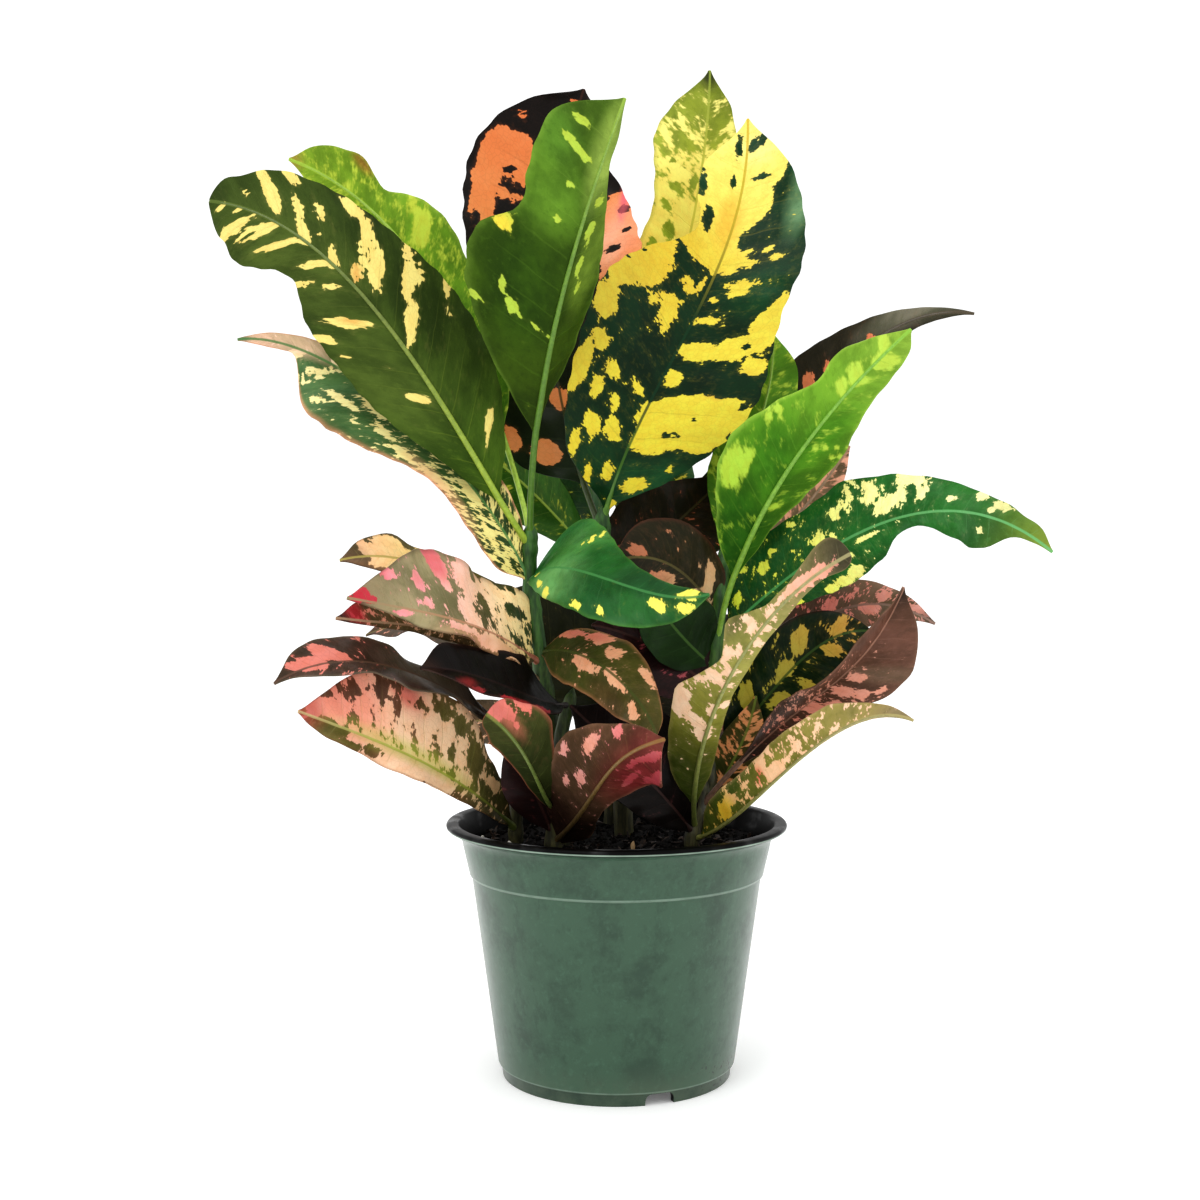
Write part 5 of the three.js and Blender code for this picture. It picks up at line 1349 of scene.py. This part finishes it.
leaf("stem_centre", "yellow_back", 268, 0.12, [[20, 45, 347], [40, 60, 425], [48, 60, 498]], [25, 0, 15, 0],
     [15, 25, 30, 32, 28, 24, 27, 29, 19], [15, 25, 28, 30, 28, 26, 22, 18, 12], wave=[2, 3, 1],
     form=[10, 10, 0, 0],
     ground=["748a22", "84a02c", "94ac36", "a0ae40", "7c8a2e"],
     blotch=["ecd84c", "eee05c", "f0e676", "ece68a"], rib_tone=["b8b44a", "d0c850", "8a9a40"],
     cover=[0.6, 0.9, 0.9, 0.7, 0.3, -0.05, -0.4], soft=0.14, slant=0.4, marble=1.1,
     holes=[(0.67, -0.5, 5, 3.4), (0.62, -0.7, 4, 2.6), (0.56, -0.5, 4, 6), (0.8, -0.4, 8, 2.4),
            (0.74, -0.6, 7, 1.2), (0.62, 0.3, 3, 5), (0.9, -0.5, 6, 5), (0.87, 0.5, 5, 5),
            (0.5, -0.7, 3, 5), (0.7, -0.15, 2.2, 2)], tints=[(1, 0, 8, 8, "3a4020", 0.95)],
     edge=("7c8a34", 0.4))
# The three inner leaves below have dark grounds, painted as the shade inside the plant.
leaf("stem_centre", "centre_dark", 236, 0.02, [[18, 28, 256], [38, 38, 274], [56, 44, 290]], [0, 10, 0, 10],
     [20, 26, 26, 22, 16, 9], [22, 27, 26, 22, 16, 9], wave=[2, 2, 1],
     ground=["241f14", "2a2416"], blotch=["b4684c"], rib_tone=["4a4428"], cover=-0.4, soft=0.1)
leaf("stem_centre", "centre_low_left", 170, 0.03, [[-30, 30, 200], [-60, 34, 215], [-90, 36, 215]],
     [0, 30, 0, 50], [30, 36, 34, 27, 18, 10], [32, 38, 36, 28, 18, 9], wave=[2, 2, 0],
     ground=["2a2e16", "2c2c16"], blotch=["8c7c3c"], rib_tone=["4c5026"], cover=-0.5, soft=0.1)
leaf("stem_centre", "centre_low_right", 165, 0.03, [[30, 38, 189], [58, 46, 208], [86, 50, 214]],
     [0, 30, 0, 50], [16, 22, 24, 20, 14, 8], [32, 40, 39, 30, 20, 10], wave=[2, 2, 2],
     ground=["2a2a16", "2c2618"], blotch=["b4744c"], rib_tone=["4c4426"], cover=-0.4, soft=0.1)

# The short front stem, with old maroon, olive and near-black leaves that hang over the soil.
# It is brown and corky for most of its length.
stem("front_stem", "stem_front", [116, 132, 182, 118], 43)
leaf("stem_front", "maroon_front", 116, 0.0, [[-13, -55, 141], [-1, -80, 161], [20, -95, 174]],
     [180, 0, 180, 0], [11, 9, 8.5, 10, 14.5, 18.5, 21.5, 21, 15], [17, 20, 22, 24, 26, 24.5, 21, 15.5, 9],
     wave=[2, 2, 0],
     ground=["34221a", "4e3a2e", "604636", "6a4c3e"], blotch=["c88c7c", "d0948c", "d87478"],
     rib_tone=["4c3c20", "7c6238", "8c6a40"], cover=-0.5, soft=0.1, slant=0.4, marble=0.45,
     patches=[(0.9, -0.4, 2, 9), (0.78, -0.2, 1.5, 8), (0.72, -0.75, 3, 8), (0.62, -0.5, 2, 9),
              (0.86, -0.85, 3, 6), (0.43, 0.35, 3, 4.6), (0.63, 0.62, 3, 6.5), (0.5, 0.85, 2, 4),
              (0.36, 0.6, 1.8, 3), (0.8, 0.7, 3, 3)],
     tints=[(0.75, -0.6, 15, 26, "6c2028", 0.9, "ground"), (0.75, -0.6, 15, 26, "8c343c", 0.95, "blotch"),
            (0.63, 0.62, 4, 7, "d89a84", 0.8, "blotch"), (0.9, 0.3, 8, 8, "6a2c30", 0.6, "ground"),
            (0.1, 0.5, 16, 14, "2a1614", 0.7)], edge=("8a6a5c", 0.4))
leaf("stem_front", "olive_front", 132, 0.1, [[-35, -50, 146], [-43, -66, 165], [-58, -78, 183]],
     [180, 0, 180, 0], [3, 5, 7.5, 10, 13, 16, 19, 18, 13], [3, 4, 5.4, 6.2, 7, 8, 8.6, 9.6, 7],
     wave=[1.5, 2, 1], form=[12, 12, 0, 1],
     ground=["2c3418", "3c4422", "4a4c2a"], blotch=["dd9a84", "d87a70"], rib_tone=["6c7a3c"], cover=-0.7,
     soft=0.08, patches=[(0.93, -0.5, 3, 12), (0.86, -0.93, 3, 5), (0.97, -0.2, 2, 5)],
     tints=[(0.95, -0.4, 3, 14, "c07068", 0.7), (0.3, 0, 12, 20, "2a3016", 0.5, "ground")],
     edge=("b86a60", 0.7))
# Its near-black ground is partly the leaf's own dark maroon and partly painted shade.
leaf("stem_front", "black_left", 182, 0.1, [[-38, -50, 187], [-60, -72, 198], [-86, -88, 204]],
     [0, 40, 0, 40], [7, 9, 9, 10, 10, 10, 9, 6.5, 4], [16, 20, 20, 19, 18, 16.5, 14.5, 13, 10.5],
     wave=[1.5, 2, 2],
     ground=["090504", "0c0605", "140a08"], blotch=["5c2c2c"], rib_tone=["241614"], cover=-0.75, soft=0.1,
     patches=[(0.3, -0.9, 2.4, 7), (0.5, -0.93, 2, 5), (0.68, -0.9, 2, 4)],
     tints=[(0.45, -0.95, 4, 20, "b02c38", 0.9, "blotch"), (0.97, 0, 8, 7, "34221f", 0.7),
            (0.4, -0.93, 2.4, 6, "a03038", 0.9), (0.75, -0.8, 3, 4, "a03038", 0.6)], edge=("3c2824", 0.6))
# A near-black leaf, painted dark as the shade low in the plant.
leaf("stem_front", "shaded_left", 118, 0.1, [[-36, -30, 135], [-43, -34, 152], [-50, -37, 168]],
     [0, 15, 0, 15], [8, 12, 14, 12, 7], [8, 12, 14, 12, 7], wave=[1, 2, 2],
     ground=["241214", "2c1618"], blotch=["5c2c2c"], rib_tone=["3c2420"], cover=-0.5, soft=0.2)

# The short stem at the left, with the pink and the maroon lower leaf, which bend out over the rim.
# It is a thinner bar of the same make, old and brown.
stem("low_left_stem", "stem_low_left", [118, 162], 44)
leaf("stem_low_left", "pink_low_left", 118, 0.04, [[-77, -45, 150], [-108, -75, 171], [-138, -95, 186]],
     [0, 25, 0, 25], [4, 5, 6, 6.5, 7.3, 8, 8.8, 9.5, 10, 10, 10, 10, 9.5, 9, 8.5, 8, 7, 5.5, 3.5],
     [6, 12, 16, 19, 23, 27, 30, 32, 33, 32, 29.5, 27.5, 27.5, 28.5, 28.5, 26, 20.5, 14, 7], wave=[2, 3, 0],
     ground=["5c5430", "6a5438", "70503c", "744a3c", "7c5040"],
     blotch=["ecc890", "f4d0a8", "f2c8a8", "e48c80"], rib_tone=["6f7a30", "a0a844", "a8ac54", "c0ac80"],
     cover=[-0.3, -0.1, 0.12, 0.1, 0.0, -0.1], soft=0.05, slant=0.45, marble=0.8,
     patches=[(0.66, -0.5, 8, 14), (0.5, -0.5, 8, 14), (0.35, -0.6, 6, 10), (0.86, 0.3, 6, 8),
              (0.93, 0.4, 5, 5), (0.73, 0.35, 9, 4), (0.645, 0.5, 9, 4), (0.56, 0.55, 10, 3),
              (0.48, 0.4, 8, 5), (0.4, 0.55, 7, 5), (0.58, 0.9, 3, 2.4), (0.52, 0.92, 3, 3),
              (0.78, 0.85, 4, 2.4), (0.3, 0.35, 3, 5), (0.14, 0.6, 3, 8), (0.25, 0.15, 3, 8)],
     holes=[(0.7, 0.75, 6, 4), (0.61, 0.65, 6, 1.8), (0.53, 0.8, 4, 2), (0.44, 0.8, 5, 3), (0.8, 0.7, 4, 3),
            (0.36, 0.75, 5, 4), (0.34, 0.3, 4, 3), (0.87, -0.6, 6, 9), (0.76, -0.9, 3, 7),
            (0.66, -0.6, 3, 5), (0.25, 0.6, 8, 6)],
     tints=[(0.8, 0.5, 14, 16, "e88c78", 0.65, "blotch"), (0.58, 0.9, 7, 10, "e07c70", 0.5, "blotch"),
            (0.35, 0.6, 16, 16, "7e7a48", 0.7, "ground"), (0.72, 0.5, 14, 12, "5c3a2c", 0.5, "ground"),
            (0.5, 0.05, 5, 40, "8f9a3c", 0.85, "ground"), (0.45, 0.04, 4, 36, "b8bc5c", 0.6, "blotch"),
            (0.8, -0.6, 8, 16, "6f6c3c", 0.8, "ground"), (0.15, 0.6, 14, 14, "4c5430", 0.6, "ground"),
            (0.97, 0, 9, 8, "a84a42", 0.6), (0.6, 0.9, 4, 8, "d8605a", 0.6, "blotch")],
     edge=("6a4034", 0.5))
leaf("stem_low_left", "maroon_low_left", 162, 0.1, [[-76, -52, 190], [-110, -84, 206], [-146, -107, 199]],
     [0, 50, 0, 50], [9, 12, 14, 14, 11, 7], [8, 11, 10, 9.5, 12, 12.5, 15.5, 14.4, 8.6], wave=[2, 3, 2],
     ground=["3c2c26", "44302c", "42302a", "4c3a30"], blotch=["cc8070", "d88474", "d07c70"],
     rib_tone=["5c4436"], cover=[-0.85, -0.85, -0.75, -0.35, -0.25, -0.5], soft=0.06, marble=0.7,
     patches=[(0.78, 0.4, 6, 5), (0.84, 0.1, 5, 6), (0.72, 0.2, 4, 4), (0.9, 0.3, 3, 3)],
     # The grey tint "6c6058" on the right half is painted sheen.
     tints=[(0.35, 0.3, 9, 22, "6c6058", 0.75, "ground")], edge=("6c6258", 0.6))

# The short stem at the right, with the ribbon leaf, the folded purple leaf and the pale lower leaf.
# It ends a little above the soil, and its leaves rise on their own stalks.
stem("low_right_stem", "stem_low_right", [121, 130, 116, 118], 45)
leaf("stem_low_right", "ribbon_right", 121, 0.1, [[40, -58, 172], [61, -88, 220], [98, -105, 254]],
     [180, 0, 180, 0], [4, 6.5, 7, 7, 6.5, 6, 5.5, 5, 5.3, 5.6, 5.5, 5.3, 5.4, 5.5, 4.8, 4, 3.5, 3.5, 5],
     [8, 12, 14.5, 16, 17.5, 18.5, 20, 15, 10.5, 7.5, 11, 14, 9, 5, 4.8, 5, 7, 9.3, 11], wave=[1.5, 3, 0],
     form=[12, 12, 0, 1],
     ground=["46561e", "70722f", "84843e", "9c9a58", "a09c62", "8c8462", "6a604c"],
     blotch=["ecd4a8", "f0d0b0", "f0ceb0", "eec4a8", "e8ae98"], rib_tone=["7c8444", "9c9c5c", "a09870"],
     cover=[-0.6, -0.5, -0.35, -0.3, -0.3, -0.35, -0.45], soft=0.05, slant=0.3, marble=0.6,
     patches=[(0.345, 0.85, 5, 4), (0.305, 0.75, 5, 4), (0.285, 0.35, 8, 3), (0.25, 0.1, 3.6, 4),
              (0.335, 0.05, 2.6, 3), (0.44, 0.5, 8, 3.2), (0.475, 0.25, 3, 4), (0.415, 0.9, 4, 2),
              (0.52, 0.7, 3, 5), (0.548, 0.2, 2.6, 2), (0.63, 0.4, 5, 1.7), (0.645, -0.1, 3, 2),
              (0.69, 0.2, 2.6, 2), (0.6, -0.5, 2, 2), (0.85, 0.1, 3, 11), (0.79, 0.5, 2, 6),
              (0.74, 0.4, 1.4, 1.4), (0.12, 0.3, 1.2, 1.2), (0.37, -0.6, 2, 3), (0.9, -0.3, 2, 5)],
     tints=[(1, 0, 12, 12, "4c483c", 0.9), (0.86, 0, 5, 14, "eaa490", 0.7, "blotch"),
            (0.1, 0.5, 14, 14, "38461c", 0.7, "ground"), (0.6, 0.9, 4, 12, "5c5a44", 0.6, "ground")],
     edge=("b0a070", 0.35))
leaf("stem_low_right", "purple_right", 130, 0.15, [[79, -25, 174], [107, -45, 201], [130, -50, 238]],
     [40, 20, 40, 20], [10, 15, 16, 15, 12, 8], [6, 9, 10.5, 12, 15, 21, 24, 21, 12], wave=[2.5, 2, 1],
     form=[30, 30, 0, 0],
     ground=["2c1c18", "463028", "5c4036", "684840", "6e4c44"], blotch=["c47464", "d49480", "dcaa94"],
     rib_tone=["7c5c4c", "a8806c"], cover=[-0.4, -0.2, -0.15, -0.3, -0.6, -0.8], soft=0.1, marble=0.5,
     patches=[(0.5, 0.35, 4, 3), (0.6, 0.3, 3, 3), (0.36, 0.4, 5, 4), (0.55, 0.7, 3, 3), (0.44, 0.7, 3, 3),
              (0.62, 0.8, 2, 2)],
     tints=[(1, 0, 8, 8, "2c2422", 0.8), (0.4, -0.6, 8, 30, "a88068", 0.5, "blotch"),
            # The grey-mauve tint "8c7468" is painted sheen.
            (0.68, 0.6, 12, 4, "8c7468", 0.5, "ground")], edge=("8c6c60", 0.4))
leaf("stem_low_right", "pale_low_right", 116, 0.06, [[63, -45, 140], [94, -75, 173], [127, -95, 182]],
     [180, 0, 180, 0], [4, 5, 5, 4, 4, 4, 4, 4, 3], [11, 14, 13, 13, 14, 13, 12, 7, 4], wave=[1.5, 2, 2],
     form=[72, 12, 0, 0],
     ground=["46581f", "68702f", "888440", "968c58", "8c7c56"],
     blotch=["e8c850", "eec094", "f2ccac", "e8c0a4"], rib_tone=["8c8c4c", "a89c6c"],
     cover=[-0.35, -0.15, -0.1, -0.2, -0.4], soft=0.06, slant=0.3, marble=0.65,
     patches=[(0.22, 0.5, 3, 6), (0.17, 0.3, 3, 4), (0.42, 0.25, 4, 8), (0.39, 0.75, 4, 4),
              (0.53, 0.4, 3, 3), (0.62, 0.5, 2, 2)],
     tints=[(0.17, 0.35, 6, 6, "ecc62c", 0.85, "blotch"), (0.36, 0.5, 3, 3, "d84a3c", 0.7, "blotch"),
            (0.24, 0.9, 5, 12, "2f4a1c", 0.7, "ground"), (0.97, 0, 8, 12, "8a7c68", 0.7)],
     edge=("b09a74", 0.5))
# A near-black leaf, painted dark as shade, fills the dark gap in front of the stems.
leaf("stem_low_right", "shaded_front", 118, 0.04, [[22, -24, 138], [2, -29, 159], [-22, -32, 182]],
     [0, 20, 0, 20], [10, 15, 18, 17, 12], [14, 24, 29, 27, 18], wave=[1, 2, 1],
     ground=["120b0a", "180f0e"], blotch=["4c2c2c"], rib_tone=["3c2824"], cover=-0.5, soft=0.2)

# The stem at the back, hidden from the front, with green leaves above and old ones below.
# It makes the plant whole from behind.
stem("back_stem", "stem_back", [238, 225, 225, 176, 170, 230, 126, 190, 132, 128], 46)
leaf("stem_back", "back_tall", 238, 0.1, [[10, 68, 290], [22, 90, 340], [30, 102, 390]], [50, 10, 60, 10],
     [24, 32, 36, 34, 28, 20, 12], [24, 32, 36, 34, 28, 20, 12], wave=[2.5, 3, 0],
     ground=["1c4a24", "22602c", "2c6c30"], blotch=["e2dc4c", "e8e060"], rib_tone=["7c9c40", "5c8c3c"],
     cover=-0.25, soft=0.05, patches=[(0.5, 0.4, 12, 7), (0.65, -0.4, 9, 6), (0.35, -0.5, 10, 6)],
     slant=0.6)
leaf("stem_back", "back_left_high", 225, 0.12, [[-45, 66, 285], [-100, 88, 325], [-150, 98, 345]],
     [-40, 20, -30, 20], [12, 20, 25, 26, 24, 18, 10], [12, 20, 25, 26, 24, 18, 10], wave=[2.5, 3, 2],
     ground=["2c5c1c", "4a7c26", "5c8c2c"], blotch=["c4cc48"], rib_tone=["9cb44c"], cover=-0.4, soft=0.15)
leaf("stem_back", "back_right_high", 225, 0.12, [[50, 62, 270], [90, 84, 305], [130, 96, 333]],
     [40, 20, 30, 20], [12, 18, 22, 23, 20, 15, 9], [12, 18, 22, 23, 20, 15, 9], wave=[2, 3, 1],
     ground=["20301a", "26381c", "2c3c20"], blotch=["e08c5c", "e4784c"], rib_tone=["5c5c30"], cover=-0.3,
     soft=0.05, patches=[(0.5, 0.4, 8, 7), (0.6, -0.5, 7, 7)])
leaf("stem_back", "back_left_mid", 176, 0.12, [[-45, 68, 200], [-92, 90, 212], [-135, 104, 206]],
     [0, 60, 0, 60], [10, 16, 20, 20, 16, 10], [10, 16, 20, 20, 16, 10], wave=[2.5, 3, 1],
     ground=["34382a", "4c4234", "54423a"], blotch=["dc9c88", "e0a08c"], rib_tone=["7c7048"], cover=-0.3,
     soft=0.07)
leaf("stem_back", "back_right_mid", 170, 0.12, [[50, 68, 190], [96, 88, 204], [138, 98, 196]],
     [0, 60, 0, 60], [10, 16, 20, 20, 16, 10], [10, 16, 20, 20, 16, 10], wave=[2.5, 3, 3],
     ground=["1c3c20", "284c26"], blotch=["e0d468"], rib_tone=["5c8040"], cover=-0.3, soft=0.05)
leaf("stem_back", "back_up_left", 230, 0.12, [[-14, 62, 278], [-30, 84, 324], [-42, 99, 362]],
     [-60, 10, -70, 10], [12, 18, 22, 22, 18, 13, 8], [12, 18, 22, 22, 18, 13, 8], wave=[2.5, 3, 1],
     ground=["1f4c20", "2a6428", "3a7430"], blotch=["d8d850"], rib_tone=["7ca044"], cover=-0.35, soft=0.06)
leaf("stem_back", "back_low_middle", 126, 0.1, [[6, 76, 142], [12, 98, 152], [18, 112, 144]],
     [-50, 50, -50, 60], [8, 12, 14, 14, 11, 7], [8, 12, 14, 14, 11, 7], wave=[2, 3, 2],
     form=[12, 12, 0.1, 0],
     ground=["3c2c28", "4c3430"], blotch=["c87870"], rib_tone=["6c4c3c"], cover=-0.35, soft=0.08)
leaf("stem_back", "back_middle", 190, 0.1, [[6, 76, 220], [4, 97, 240], [0, 110, 238]], [60, 50, 40, 60],
     [9, 14, 17, 17, 14, 9], [9, 14, 17, 17, 14, 9], wave=[2, 3, 2], form=[12, 12, 0.1, 0],
     ground=["24381c", "2c4420"], blotch=["d8b460"], rib_tone=["5c6c34"], cover=-0.3, soft=0.06)
leaf("stem_back", "back_left_low", 132, 0.1, [[-40, 76, 152], [-75, 97, 160], [-108, 106, 146]],
     [-50, 50, -40, 50], [8, 13, 16, 16, 13, 8], [8, 13, 16, 16, 13, 8], wave=[2, 3, 0],
     form=[12, 12, 0.1, 0],
     ground=["4c4430", "5c4c38", "5a4038"], blotch=["e4b490"], rib_tone=["8c8050"], cover=-0.15, soft=0.06)
leaf("stem_back", "back_right_low", 128, 0.1, [[40, 76, 148], [72, 98, 158], [104, 108, 146]],
     [50, 50, 40, 50], [8, 13, 16, 16, 13, 8], [8, 13, 16, 16, 13, 8], wave=[2, 3, 1],
     form=[12, 12, 0.1, 0],
     ground=["3c2a26", "4c3430"], blotch=["d48c7c"], rib_tone=["6c503c"], cover=-0.3, soft=0.08)
